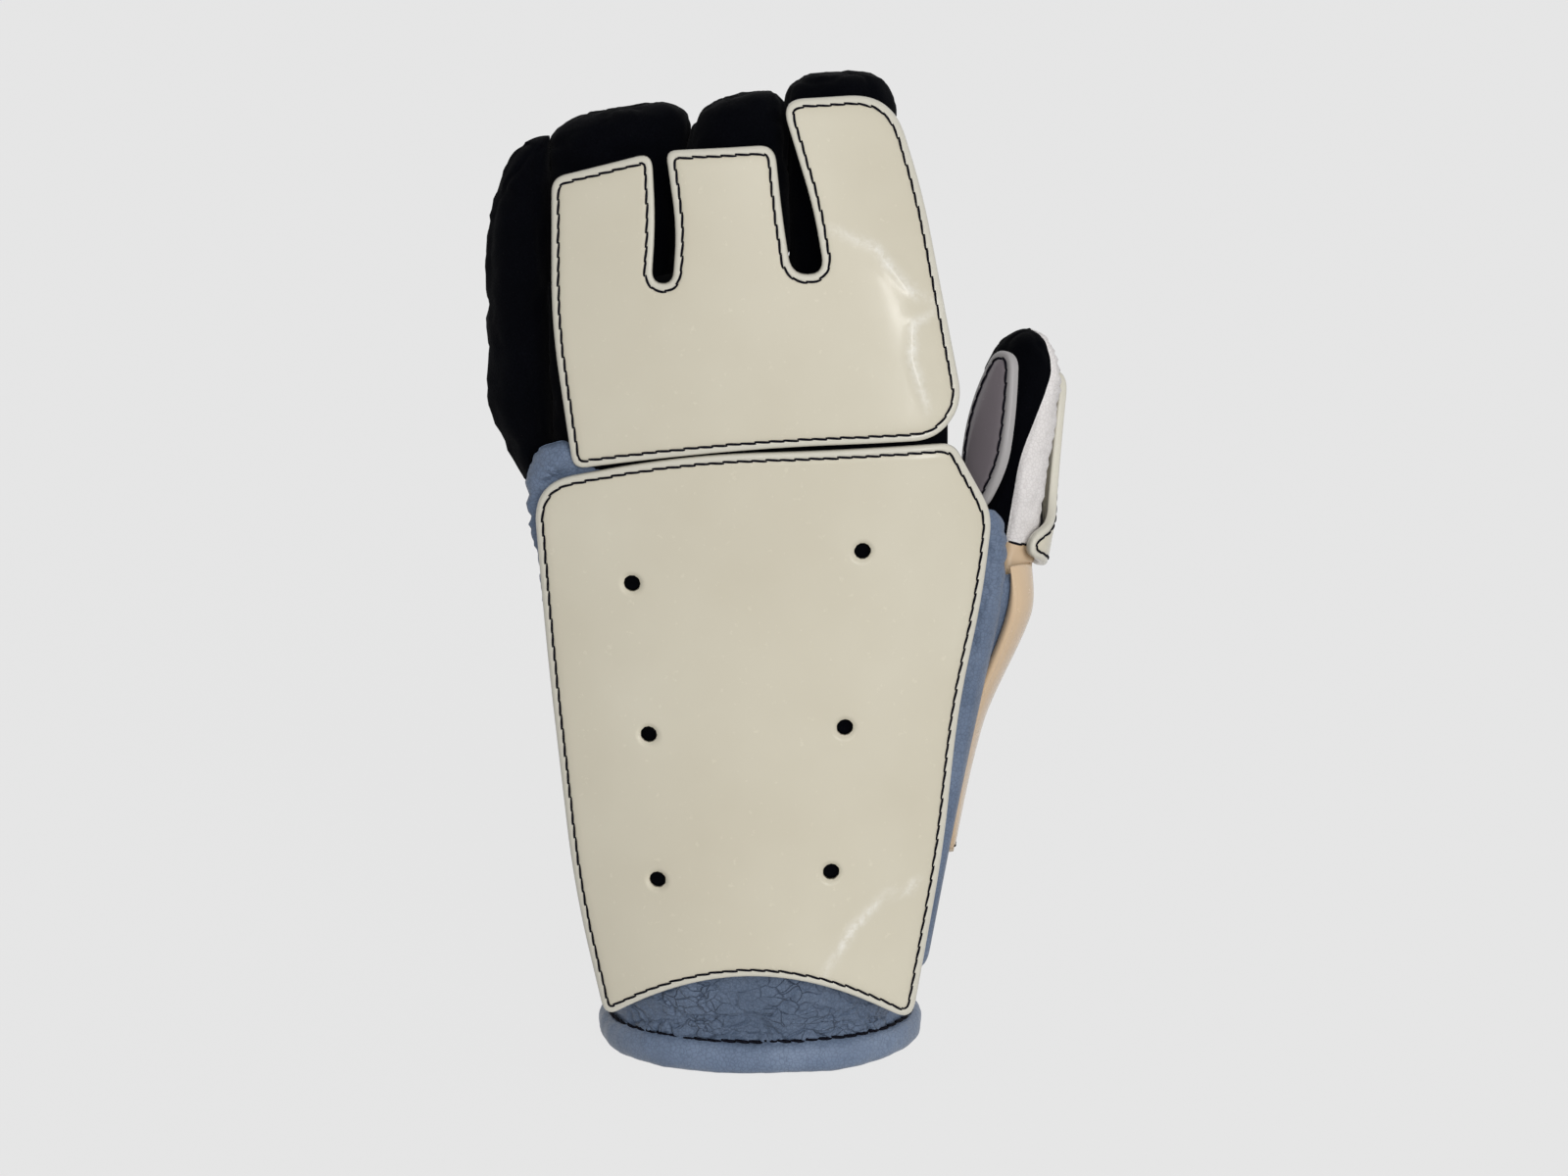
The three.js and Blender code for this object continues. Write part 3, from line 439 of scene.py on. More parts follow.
class Surface(Nodes):
    """A new material with some constants on its surface, whose textures are sized in millimetres."""

    def __init__(self, name, **constants):
        self.material = bpy.data.materials.new(name)
        super().__init__(self.material)
        self.surface = self.tree.nodes["Principled BSDF"]
        self.coords = self.node("TexCoord").outputs["Object"]
        self.set(**constants)

    def set(self, **values):
        for key, value in values.items():
            self.put(value, self.surface.inputs[key.replace("_", " ")])

    def attribute(self, name):
        return self.node("Attribute", settings={"attribute_name": name}).outputs["Fac"]

    def texture(self, kind, size, settings=None, at=None, stretch=(1, 1, 1), **inputs):
        scale = tuple(s / (size * MM) for s in stretch)
        place = self.node("Mapping", Vector=at or self.coords, Scale=scale).outputs["Vector"]
        return self.node("Tex" + kind, settings=settings, Vector=place, Scale=1.0, **inputs)

    def noise(self, size, detail, roughness=0.5):
        return self.texture("Noise", size, Detail=detail, Roughness=roughness).outputs[0]

    def waves(self, size, direction, **inputs):
        bands = {"wave_type": "BANDS", "bands_direction": direction}
        return self.texture("Wave", size, bands, **inputs).outputs[1]

    def cells(self, size, sway, stretch=(1, 1, 1)):
        """Distance to the borders of irregular cells, which wander by a share of their size."""
        warp = self.texture("Noise", 3 * size, Detail=2.0).outputs["Color"]
        reach = (sway * size * MM,) * 3
        moved = self.node("VectorMath", warp, reach, self.coords, settings={"operation": "MULTIPLY_ADD"})
        kind = {"feature": "DISTANCE_TO_EDGE"}
        return self.texture("Voronoi", size, kind, moved.outputs[0], stretch).outputs[0]

    def ramp(self, value, stops):
        """Colours or grey levels at places from 0 to 1."""
        node = self.node("ValToRGB", value)
        elements = node.color_ramp.elements
        while len(elements) < len(stops):
            elements.new(0.5)
        for element, (place, colour) in zip(elements, stops):
            element.position = place
            element.color = (*(colour if isinstance(colour, tuple) else (colour,) * 3), 1)
        return node.outputs["Color"]

    def mix(self, factor, a, b):
        node = self.node("Mix", factor, settings={"data_type": "RGBA"})
        self.put(a, node.inputs[6])
        self.put(b, node.inputs[7])
        return node.outputs[2]

    def bumps(self, *layers):
        """Bump from layers of height, strength and depth in millimetres."""
        before = {}
        for height, strength, depth in layers:
            node = self.node("Bump", Height=height, Strength=strength, Distance=depth * MM, **before)
            before = {"Normal": node.outputs["Normal"]}
        self.set(**before)


def plate_material(name, low, high, edge, seam):
    """Moulded plastic: faint cloudiness, a paler rim, a darker line at the stitches that is painted shade in
    their groove, and a painted highlight along the creases.
    """
    s = Surface(name, Coat_Weight=0.3, Coat_Roughness=0.1, IOR=1.48)
    base = s.ramp(s.noise(60, 3.0, 0.55), [(0.3, low), (0.72, high)])
    centimetres = s.maths("MULTIPLY", s.attribute("rim"), 0.1)
    # The seam colour is painted shade: a darker line along the groove of the stitches, inside the paler rim.
    edging = s.ramp(centimetres, [(0.0, edge), (0.19, edge), (0.23, seam), (0.27, low), (0.6, low)])
    fades = s.ramp(centimetres, [(0.0, 1.0), (0.19, 1.0), (0.25, 0.8), (0.32, 0.3), (0.6, 0.0)])
    # The noise below varies the roughness all over the plate; along the creases it also breaks up a painted
    # highlight, a paler colour standing in for streaks of reflected light.
    scuff_and_highlight_noise = s.noise(2.5, 5.0, 0.7)
    painted_highlight = s.maths("MULTIPLY", s.attribute("worn"), s.ramp(scuff_and_highlight_noise, [(0.38, 0.15), (0.62, 0.75)]))
    highlight_colour = tuple(1 - 0.45 * (1 - c) for c in high)
    s.set(Base_Color=s.mix(painted_highlight, s.mix(fades, base, edging), highlight_colour))
    s.set(Roughness=s.ramp(scuff_and_highlight_noise, [(0.35, 0.2), (0.75, 0.3)]))
    s.bumps((s.noise(22, 2.0), 0.3, 0.7))
    return s.material


def leather_material(name, dark, light, crease, grain, roughness, crackle=0.0):
    """Leather: pebbled grain, darker creases between the pebbles, cloudy dye, crackle where it buckles."""
    s = Surface(name, Roughness=roughness, Specular_IOR_Level=0.4, Sheen_Weight=0.04)
    base = s.ramp(s.noise(22, 4.0, 0.6), [(0.3, dark), (0.7, light)])
    cells = s.cells(grain, 1.0)
    base = s.mix(s.ramp(cells, [(0.0, 0.4), (0.12, 0.0)]), base, crease)
    pebbles = s.ramp(cells, [(0.0, 0.0), (0.25, 1.0)])
    layers = [(s.noise(5 * grain, 5.0, 0.6), 0.35, 0.9), (pebbles, 0.3, 0.22)]
    if crackle:
        lines = s.ramp(s.cells(crackle, 2.2, (0.75, 1, 1.35)), [(0.0, 1.0), (0.055, 0.0)])
        patches = s.ramp(s.noise(4 * crackle, 3.0), [(0.4, 0.0), (0.6, 1.0)])
        shown = s.maths("MULTIPLY", lines, patches)
        base = s.mix(s.maths("MULTIPLY", shown, 0.6), base, crease)
        layers.append((s.maths("SUBTRACT", 1.0, shown), 0.7, 0.5))
    s.set(Base_Color=base)
    s.bumps(*layers)
    return s.material


def suede_material(name, dark, light, lint=0.0):
    """Suede: short nap that catches the light at grazing angles, brushed patches, a little lint."""
    s = Surface(name, Roughness=0.95, Specular_IOR_Level=0.06, Sheen_Weight=0.015, Sheen_Roughness=0.5)
    nap = s.noise(0.55, 3.0, 0.7)
    brushed = s.noise(16, 4.0, 0.65)
    base = s.mix(s.ramp(nap, [(0.3, 0.0), (0.75, 1.0)]), dark, light)
    base = s.mix(s.ramp(brushed, [(0.35, 0.75), (0.7, 0.0)]), base, dark)
    if lint:
        spot = s.texture("Voronoi", 5.5, Randomness=1.0).outputs
        small = s.maths("LESS_THAN", spot["Distance"], 0.055)
        rare = s.maths("GREATER_THAN", s.node("SeparateColor", spot["Color"]).outputs[0], 1 - lint)
        base = s.mix(s.maths("MULTIPLY", small, rare), base, (0.35, 0.36, 0.4))
    s.set(Base_Color=base)
    s.bumps((brushed, 0.3, 1.2), (nap, 0.5, 0.3))
    return s.material


def cloth_material(name, dark, light, pitch):
    """Woven cloth: two crossed sets of ribs."""
    s = Surface(name, Roughness=0.9, Specular_IOR_Level=0.2, Sheen_Weight=0.1)
    ribs = [s.waves(2 * np.pi * pitch, axis, Distortion=0.6, Detail=1.0) for axis in "XZ"]
    weave = s.maths("MULTIPLY", *ribs)
    s.set(Base_Color=s.mix(s.ramp(weave, [(0.1, 0.0), (0.7, 1.0)]), dark, light))
    s.bumps((weave, 0.6, 0.3), (s.noise(1.2, 3.0), 0.3, 0.2))
    return s.material


def thread_material(name, dark, light):
    """Twisted thread."""
    s = Surface(name, Roughness=0.8, Specular_IOR_Level=0.12)
    twist = s.waves(3.0, "DIAGONAL", Distortion=1.0)
    s.set(Base_Color=s.mix(twist, dark, light))
    s.bumps((twist, 0.5, 0.15))
    return s.material


# Each plate's seam colour is painted shade along its stitch groove.
CREAM = plate_material("cream_plate", low=(0.59, 0.545, 0.43), high=(0.64, 0.60, 0.485),
                       edge=(0.61, 0.585, 0.50), seam=(0.40, 0.38, 0.32))
# Painted shade: the cream plastic painted a dark grey-purple for the thumb's inner plate, which faces away
# from the light; its rim and seam are darkened alike.
SHADED_CREAM = plate_material("shaded_plate", low=(0.205, 0.18, 0.195), high=(0.245, 0.215, 0.235),
                      edge=(0.36, 0.345, 0.345), seam=(0.15, 0.14, 0.16))
# Painted shade: the cream plastic painted a warm tan, its shade with warm bounced light, for the wrist guard
# and for the thumb's leather below its root.
WARM_SHADED_CREAM = plate_material("tan_plate", low=(0.60, 0.43, 0.27), high=(0.66, 0.49, 0.32),
                     edge=(0.60, 0.45, 0.30), seam=(0.34, 0.24, 0.15))
BLUE = leather_material("blue_leather", (0.095, 0.133, 0.205), (0.15, 0.197, 0.287), (0.03, 0.043, 0.075),
                        grain=1.3, roughness=0.42)
# Painted light: the blue leather painted paler for the hem, whose top faces up into the light.
LIT_BLUE = leather_material("lit_hem_leather", (0.125, 0.17, 0.255), (0.19, 0.245, 0.345), (0.04, 0.055, 0.095),
                             grain=1.3, roughness=0.4)
# Painted shade: the blue leather painted darker for the cuff's front panel, which lies in shade under the
# back plate's arch; its crackle is the leather's own.
SHADED_CRACKED_BLUE = leather_material("creased_shaded_blue_leather", (0.07, 0.1, 0.155), (0.115, 0.155, 0.23),
                           (0.02, 0.03, 0.055), grain=1.2, roughness=0.42, crackle=4.2)
WHITE = leather_material("white_leather", (0.71, 0.68, 0.67), (0.78, 0.75, 0.74), (0.44, 0.41, 0.40),
                         grain=1.2, roughness=0.5)
BLACK = suede_material("black_suede", (0.0006, 0.0007, 0.0014), (0.0024, 0.0028, 0.0046), lint=0.07)
FELT = suede_material("dark_felt", (0.02, 0.02, 0.022), (0.05, 0.05, 0.055))
LINING = cloth_material("dark_lining", (0.012, 0.013, 0.017), (0.04, 0.042, 0.05), pitch=0.8)
TAPE = cloth_material("hook_tape", (0.006, 0.006, 0.008), (0.022, 0.023, 0.028), pitch=0.9)
THREAD_BLACK = thread_material("black_thread", (0.0012, 0.0012, 0.003), (0.005, 0.005, 0.010))
THREAD_PALE = thread_material("pale_thread", (0.42, 0.40, 0.38), (0.62, 0.60, 0.57))


# Meshes


def edit_mesh(mesh, change):
    bm = bmesh.new()
    bm.from_mesh(mesh)
    change(bm)
    bm.to_mesh(mesh)
    bm.free()


def finish_mesh(obj, materials, body=None, *nodes):
    """Faces outwards, smooth shading, materials, the body that the piece rides on, its solids."""
    edit_mesh(obj.data, lambda bm: bmesh.ops.recalc_face_normals(bm, faces=bm.faces))
    obj.data.shade_smooth()
    materials = materials if isinstance(materials, list) else [materials]
    for material in materials:
        obj.data.materials.append(material)
    if body:
        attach(obj, body)
    if nodes:
        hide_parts(*nodes)
    return obj


def new_object(name, points, faces):
    mesh = bpy.data.meshes.new(name)
    mesh.from_pydata(world(np.reshape(points, (-1, 3))).tolist(), [], faces)
    obj = bpy.data.objects.new(name, mesh)
    bpy.context.scene.collection.objects.link(obj)
    return obj


def grid_faces(rows, columns, wraps, start=0):
    index = start + np.arange(rows * columns).reshape(rows, columns)
    beside = np.roll(index, -1, axis=1)
    quads = np.stack([index[:-1], beside[:-1], beside[1:], index[1:]], -1)
    return (quads if wraps else quads[:, :-1]).reshape(-1, 4).tolist()


def tube_faces(rows, columns, start):
    """Wall of a tube and its two ends."""
    ends = [list(range(first, first + columns)) for first in (start, start + (rows - 1) * columns)]
    return grid_faces(rows, columns, True, start) + ends


def shell(name, outer, inner, materials, body, *nodes, wraps=False, capped=False):
    """Closed piece from two matching grids of points: rows, columns, 3."""
    rows, columns = outer.shape[:2]
    count = rows * columns
    faces = grid_faces(rows, columns, wraps) + grid_faces(rows, columns, wraps, count)
    index = np.arange(count).reshape(rows, columns)
    rims = [index[0]] if capped else [index[0], index[-1]]
    if wraps:
        rims = [np.append(rim, rim[0]) for rim in rims]
    else:
        rims += [index[:, 0], index[:, -1]]
    for rim in rims:
        faces += [(a, b, count + b, count + a) for a, b in zip(rim.tolist(), rim[1:].tolist())]
    obj = new_object(name, np.concatenate([outer.reshape(-1, 3), inner.reshape(-1, 3)]), faces)
    if capped:
        edit_mesh(obj.data, lambda bm: bmesh.ops.remove_doubles(bm, verts=bm.verts, dist=1e-6))
    return finish_mesh(obj, materials, body, *nodes)


def outline(corners, step=1.1):
    """Closed outline, counter-clockwise, with curved corners: place and reach of each corner's curve."""
    corners = np.array(corners, float)
    places, reaches = corners[:, :2], corners[:, 2]
    points = []
    for i, corner in enumerate(places):
        ends = []
        for k in (i - 1, (i + 1) % len(places)):
            side = places[k] - corner
            length = np.linalg.norm(side)
            reach = min(reaches[i], 0.96 * length * reaches[i] / (reaches[i] + reaches[k]))
            ends.append(corner + side / length * reach)
        count = max(4, int(np.ceil(1.6 * reaches[i] / step)))
        for t in np.linspace(0, 1, count + 1):
            points.append(lerp(lerp(ends[0], corner, t), lerp(corner, ends[1], t), t))
    points = np.array(points)
    x, y = points.T
    if np.sum(x * np.roll(y, -1) - y * np.roll(x, -1)) < 0:
        points = points[::-1]
    return resampled(points, step, closed=True)


def lengths_along(line):
    """Length of a line up to each of its points."""
    return np.concatenate([[0], np.cumsum(np.linalg.norm(np.diff(line, axis=0), axis=1))])


def sampled(line, lengths, places):
    return np.stack([np.interp(places, lengths, column) for column in line.T], -1)


def resampled(points, step, closed=False):
    """Points at even spacing along a line."""
    line = np.concatenate([points, points[:1]]) if closed else np.asarray(points)
    lengths = lengths_along(line)
    count = max(3, int(round(lengths[-1] / step)))
    places = np.linspace(0, lengths[-1], count + 1)
    return sampled(line, lengths, places[:-1] if closed else places)


def distance_to(points, loop):
    """Distance of each point to a closed line, worked out for some points at a time."""
    some = 2000
    side = np.roll(loop, -1, axis=0) - loop
    best = np.full(len(points), np.inf)
    for start in range(0, len(points), some):
        p = points[start:start + some, None, :]
        t = np.clip(np.sum((p - loop) * side, -1) / np.sum(side * side, -1), 0, 1)
        best[start:start + some] = np.linalg.norm(p - (loop + t[..., None] * side), axis=-1).min(1)
    return best


def inside(points, loop):
    """Whether each point is inside a closed line."""
    x, y = points.T
    result = np.zeros(len(points), bool)
    for (ax, ay), (bx, by) in zip(loop, np.roll(loop, -1, axis=0)):
        crosses = (ay > y) != (by > y)
        with np.errstate(divide="ignore", invalid="ignore"):
            result ^= crosses & (x < (bx - ax) * (y - ay) / (by - ay) + ax)
    return result


def well_inside(points, loop, clear):
    points = points[inside(points, loop)]
    return points[distance_to(points, loop) > clear]


def sideways(line):
    """Direction to the left of a flat line's tangents."""
    return np.stack([-line[:, 1], line[:, 0]], -1)


def offset_line(loop, inset):
    """Points of the loop moved inwards, without those that fall too near another side."""
    moved = loop + inset * sideways(unit(np.roll(loop, -1, axis=0) - np.roll(loop, 1, axis=0)))
    return moved[distance_to(moved, loop) > inset - 0.03]


# Distances from an edge, a hole or a crease at which a sheet has rows of points
EDGE_RINGS = (0.08, 0.25, 0.5, 0.8, 1.1, 1.5, 1.8, 2.05, 2.2, 2.35, 2.6, 3.1, 3.8, 4.6, 5.6)
PAD_RINGS = (0.15, 0.5, 1.0, 1.7, 2.6, 3.6, 4.8, 6.2, 8.0)
FOAM_RINGS = (0.2, 0.6, 1.2)
HOLE_RINGS = (0.12, 0.4, 0.8, 1.3, 1.9)
CREASE_ROWS = (0.0, 0.7, 1.5, 2.5, 3.8)
CREASE_ROOM = 4.5
HOLE_SIDES = 24


def beside_crease(line):
    """Rows of points along an open line and on both its sides."""
    path = resampled(np.array(line, float), 1.3)
    across = sideways(unit(np.gradient(path, axis=0)))
    return np.concatenate([path + side * across for offset in CREASE_ROWS for side in {-offset, offset}])


def distance_along(points, line):
    """Distance of each point to an open line, and the share of the line at the nearest place."""
    path = resampled(np.array(line, float), 0.4)
    gaps = np.linalg.norm(points[:, None, :] - path[None], axis=-1)
    return gaps.min(1), gaps.argmin(1) / (len(path) - 1)


def flat_sheet(loop, rings=EDGE_RINGS, spacing=3.0, holes=(), creases=()):
    """Triangles that fill an outline, fine where it has detail, with distances to the edge and holes."""
    clear = rings[-1] + 0.6 * spacing
    steps = [np.arange(low, high, spacing) for low, high in zip(loop.min(0), loop.max(0))]
    grid = well_inside(np.stack(np.meshgrid(*steps), -1).reshape(-1, 2), loop, clear)
    groups = [loop] + [offset_line(loop, distance) for distance in rings]
    edges = [(i, (i + 1) % len(loop)) for i in range(len(loop))]
    turn = ring(HOLE_SIDES)
    circle = np.stack([np.cos(turn), np.sin(turn)], -1)
    for centre in holes:
        grid = grid[np.linalg.norm(grid - centre, axis=1) > RIVET_HOLE / 2 + HOLE_RINGS[-1] + 1]
        start = sum(len(g) for g in groups)
        groups += [centre + circle * (RIVET_HOLE / 2 + distance) for distance in (0,) + HOLE_RINGS]
        edges += [(start + i, start + (i + 1) % HOLE_SIDES) for i in range(HOLE_SIDES)]
    for crease in creases:
        rows = well_inside(beside_crease(crease), loop, clear)
        grid = np.concatenate([grid[distance_along(grid, crease)[0] > CREASE_ROOM], rows])
    points = np.concatenate(groups + [grid])
    found, _, faces, _, _, _ = delaunay_2d_cdt([Vector(p) for p in points], edges, [], 1, 1e-5)
    points = np.array([tuple(p) for p in found])
    faces = np.array([f for f in faces if len(f) == 3])
    middles = points[faces].mean(1)
    keep = np.ones(len(faces), bool)
    hole_gap = np.full(len(points), np.inf)
    for centre in holes:
        keep &= np.linalg.norm(middles - centre, axis=1) > RIVET_HOLE / 2 - 0.1
        hole_gap = np.minimum(hole_gap, np.linalg.norm(points - centre, axis=1) - RIVET_HOLE / 2)
    return points, faces[keep], distance_to(points, loop), hole_gap


def sheet(name, faces, front, back, material, body, *nodes, **values):
    """Closed piece from one flat triangulation placed twice, joined along its open edges."""
    count = len(front)
    faces = faces.tolist()
    sides = dict.fromkeys(side for a, b, c in faces for side in ((a, b), (b, c), (c, a)))
    far_side = [[i + count for i in face[::-1]] for face in faces]
    border = [(b, a, a + count, b + count) for a, b in sides if (b, a) not in sides]
    obj = new_object(name, np.concatenate([front, back]), faces + far_side + border)
    for key, value in values.items():
        set_values(obj, key, np.concatenate([value, value]))
    return finish_mesh(obj, material, body, *nodes)


def set_values(obj, key, values):
    """One number for each point of a mesh, for its material to read."""
    layer = obj.data.attributes.new(key, "FLOAT", "POINT")
    layer.data.foreach_set("value", np.asarray(values, np.float32).ravel())


def stitching(name, line, normals, body, material, closed=True, thread=THREAD, length=STITCH_LENGTH):
    """Short slanted stitches laid along a line, each dipping into the surface at both ends."""
    steps = np.linspace(0, 1, 7)
    arch = np.sqrt(np.sin(np.pi * steps))
    girth = thread * lerp(STITCH_ENDS, 1, arch)
    turn = ring(6)
    data = np.concatenate([line, normals], 1)
    path = np.concatenate([data, data[:1]]) if closed else data
    lengths = lengths_along(path[:, :3])
    count = max(1, int(round(lengths[-1] / STITCH_PITCH)))
    pitch = lengths[-1] / count
    points, faces = [], []
    for k in range(count):
        places = (k + 0.5) * pitch + (steps - 0.5) * length * pitch / STITCH_PITCH
        at = sampled(path, lengths, places)
        centre, normal = at[:, :3], unit(at[:, 3:])
        side = unit(np.cross(unit(np.gradient(centre, axis=0)), normal))
        sway = STITCH_SWAY * math.sin(2.4 * k) + STITCH_SLANT * (steps - 0.5)
        centre = raised(raised(centre, normal, STITCH_LIFT * arch - STITCH_DIP), side, sway)
        around = np.cos(turn)[:, None] * side[:, None] + np.sin(turn)[:, None] * normal[:, None]
        faces += tube_faces(len(steps), len(turn), k * len(steps) * len(turn))
        points.append(centre[:, None] + girth[:, None, None] * around)
    return finish_mesh(new_object(name, points, faces), material, body)


# Plates


def rounded_edge(rim, radius):
    """Depth that a rounded edge takes away at a distance from the rim."""
    near = np.minimum(rim, radius)
    return radius - np.sqrt(np.maximum(0, radius**2 - (radius - near) ** 2))


def edge_profile(rim):
    """Depth below the plate's face: rounded edge, pressed rim and the groove for the stitches."""
    groove = GROOVE_DEPTH * bump(rim, STITCH_INSET, GROOVE_WIDTH)
    return rounded_edge(rim, EDGE_RADIUS) + RIM_DROP * (1 - smooth(*RIM_SPAN, rim)) + groove


def moulded_plate(name, corners, place, material, body, node, holes=(), creases=()):
    """Plate with a rounded edge, a row of stitches, countersunk holes, and creases that rise in a low ridge
    and carry a painted highlight.
    """
    loop = outline(corners)
    flat, faces, rim, hole_gap = flat_sheet(loop, holes=np.array(holes).reshape(-1, 2), creases=creases)
    # The crease mask raises a low ridge on the plate and also paints a highlight along it.
    worn = np.zeros(len(flat))
    for crease in creases:
        gap, share = distance_along(flat, crease)
        worn = np.maximum(worn, bump(gap, 0, CREASE_WIDTH) * np.sin(np.pi * lerp(0.12, 0.88, share)))
    sink = SINK_DEPTH * np.clip(1 - hole_gap / SINK_WIDTH, 0, 1) ** 1.5
    front = place(*flat.T, edge_profile(rim) + sink - CREASE_RISE * worn)
    back = place(*flat.T, PLATE - rounded_edge(rim, BACK_EDGE))
    sheet(name, faces, front, back, material, body, node, rim=rim, worn=worn)
    seam = resampled(offset_line(loop, STITCH_INSET), SEAM_STEP, closed=True)
    sewn = with_normals(place, *seam.T, inset=edge_profile(np.array(STITCH_INSET)), step=1)
    stitching(name + "_stitches", *sewn, body, THREAD_BLACK)


def from_knuckle(corners):
    return [(x, KNUCKLE_Z + up, *rest) for x, up, *rest in corners]


# Outlines: place across, place up, reach of the corner's curve
BACK_PLATE = from_knuckle([
    (-67.3, -6.4, 13), (-22, 4.2, 24), (57.5, 6.2, 4), (69.6, -16, 6), (67, -40, 12), (59.8, -75, 15),
    (55.5, -119, 15), (46.5, -171.8, 6), (-3, -141.5, 46), (-47, -170.7, 5), (-56, -131, 20),
    (-63.4, -59, 20),
])
HOLES = from_knuckle([(-37.5, -35), (30.7, -25), (-32.8, -80.5), (25.6, -78), (-30.4, -125), (21.6, -122)])
PAD_COVER = from_knuckle([
    (-71.6, 2.2, 17), (-57, 6.5, 3), (-51, -0.5, 3), (57, -1, 4), (66, -15.5, 4), (74.2, -16.5, 8),
    (74, -41, 14), (60, -108, 24), (50.5, -160, 8), (-4, -134, 44), (-47.5, -163, 5), (-55.5, -131, 18),
    (-63, -59, 18), (-66.8, -26, 10),
])
FINGER_PLATE = from_knuckle([
    (-54.9, -1.7, 4), (-61, 41, 14), (-60.8, 83.5, 4), (-31, 91.6, 4.5), (-30, 72, 8), (-31.2, 54, 4),
    (-25, 54, 3.5), (-23.8, 70, 8), (-27, 92.2, 3), (4.8, 94, 5), (6.8, 75, 8), (9.6, 57, 5),
    (19.4, 56.8, 5.5), (16, 76, 8), (6.4, 106.6, 7), (39.2, 107.8, 13), (48.3, 79, 12), (60.4, 17.5, 7),
    (52.5, 7.2, 7), (2, 6.5, 22), (-36, 1.8, 14),
])
THUMB_LEAF = [
    (-3, 61.5, 6), (5.5, 40, 14), (2.5, 19, 8), (-8.5, 11.5, 5), (-14, 25, 10), (-13.6, 44, 14),
    (-10.8, 60.5, 5),
]
THUMB_SHIELD = [
    (-5, 57, 9), (-9, 31, 20), (-15, 15, 10), (-31, 7.5, 4), (-31, 1.5, 3), (-9, -4, 8), (12.5, 3, 5),
    (12.5, 30, 14), (8, 56, 7),
]
# Creases in the plates, raised as low ridges with a painted highlight along them, as lines of places across
# and up
FINGER_CREASES = [
    [(21, 257), (34, 251.5), (45, 238), (54, 234)],
    [(54, 233), (45.5, 229), (45, 219), (50, 203)],
]
BACK_CREASES = [[(39, 58), (28, 47), (19.5, 33)], [(43.6, 56.6), (48, 60.4)]]
# Lines past which the finger plate bends back: a place on each and the way it faces, then slope and radius
FINGER_BENDS = [((20, 255), (0.65, 0.76)), ((45.5, 221), (0.98, 0.2))]
BEND_SLOPE = 0.05
BEND_RADIUS = 1.2
# Faces of the thumb's foam and plates, measured from the thumb's middle
THUMB_FOAM_FACE = THUMB["half"] + GAP + THUMB_FOAM
THUMB_PLATE_FACE = THUMB_FOAM_FACE + GAP + PLATE
# Dark felt in a hole of the back plate: radius and depth below the plate's face
EYELET = ((0.05, 2.5), (1.6, 2.6), (2.3, 2.55), (2.42, 2.7), (2.42, 2.9), (1.6, 3.1), (0.05, 3.15))


def on_surface(surface, depth_below=0.0):
    """Place on a sheet behind the given surface: place across, place up, depth below its face."""
    return lambda x, z, depth: xyz(x, surface(x, z) + depth_below + depth, z)


def thumb_inside(face):
    """Place on a bowed sheet on the inner side of the thumb."""
    def place(across, up, depth):
        return thumb_place(-(face - depth - across**2 / (2 * THUMB_PLATE_RADIUS)), across, up)
    return place


def thumb_outside(face):
    """Place on a sheet that wraps round the outer side of the thumb at an even distance."""
    spare = THUMB["width"] - THUMB["half"]
    turn = np.linspace(-THUMB_WRAP, THUMB_WRAP, 400)
    arc = np.cumsum(np.hypot(face * np.sin(turn), (face + spare) * np.cos(turn)) * (turn[1] - turn[0]))
    arc -= np.interp(0, turn, arc)

    def place(across, up, depth):
        angle = np.interp(across, arc, turn)
        out = face - depth
        return thumb_place(out * np.cos(angle), (out + spare) * np.sin(angle), up)
    return place


def finger_face(x, z):
    """Finger plate's face, bent a little where it is creased beside the index finger."""
    past = np.max([(x - px) * ax + (z - pz) * az for (px, pz), (ax, az) in FINGER_BENDS], axis=0)
    return finger_surface(x, z) + BEND_SLOPE * (np.hypot(np.maximum(past, 0), BEND_RADIUS) - BEND_RADIUS)


def make_plates():
    moulded_plate("back_guard", BACK_PLATE, on_surface(back_surface), CREAM, "cuff", "back_plate",
                  HOLES, BACK_CREASES)
    moulded_plate("finger_guard", FINGER_PLATE, on_surface(finger_face), CREAM, "fingers", "finger_plate",
                  creases=FINGER_CREASES)
    # The thumb's inner plate is cream plastic painted in shade.
    moulded_plate("thumb_inner_guard", THUMB_LEAF, thumb_inside(THUMB_PLATE_FACE), SHADED_CREAM, "thumb",
                  "thumb_inner_plate")
    moulded_plate("thumb_outer_guard", THUMB_SHIELD, thumb_outside(THUMB_PLATE_FACE), CREAM, "thumb",
                  "thumb_outer_plate")


def soft_pad(name, corners, inset, place, thickness, body, node):
    """Felt layer behind a plate, with round edges."""
    loop = resampled(offset_line(outline(corners), inset), 1.5, closed=True)
    flat, faces, rim, _ = flat_sheet(loop, FOAM_RINGS, 5.0)
    lost = rounded_edge(rim, thickness / 2)
    fuzz = 0.12 * cloud(xyz(flat[:, 0], 0, flat[:, 1]), 2.5)
    front = place(*flat.T, lost + fuzz)
    back = place(*flat.T, thickness - lost)
    piece = sheet(name, faces, front, back, FELT, body, node)


def make_pads():
    soft_pad("finger_pad", FINGER_PLATE, 2.0, on_surface(finger_surface, PLATE + GAP), FINGER_FOAM,
             "fingers", "finger_pad_foam")
    soft_pad("thumb_inner_pad", THUMB_LEAF, 2.5, thumb_inside(THUMB_FOAM_FACE), THUMB_FOAM,
             "thumb", "thumb_inner_foam")
    soft_pad("thumb_outer_pad", THUMB_SHIELD, 6, thumb_outside(THUMB_FOAM_FACE), THUMB_FOAM,
             "thumb", "thumb_outer_foam")


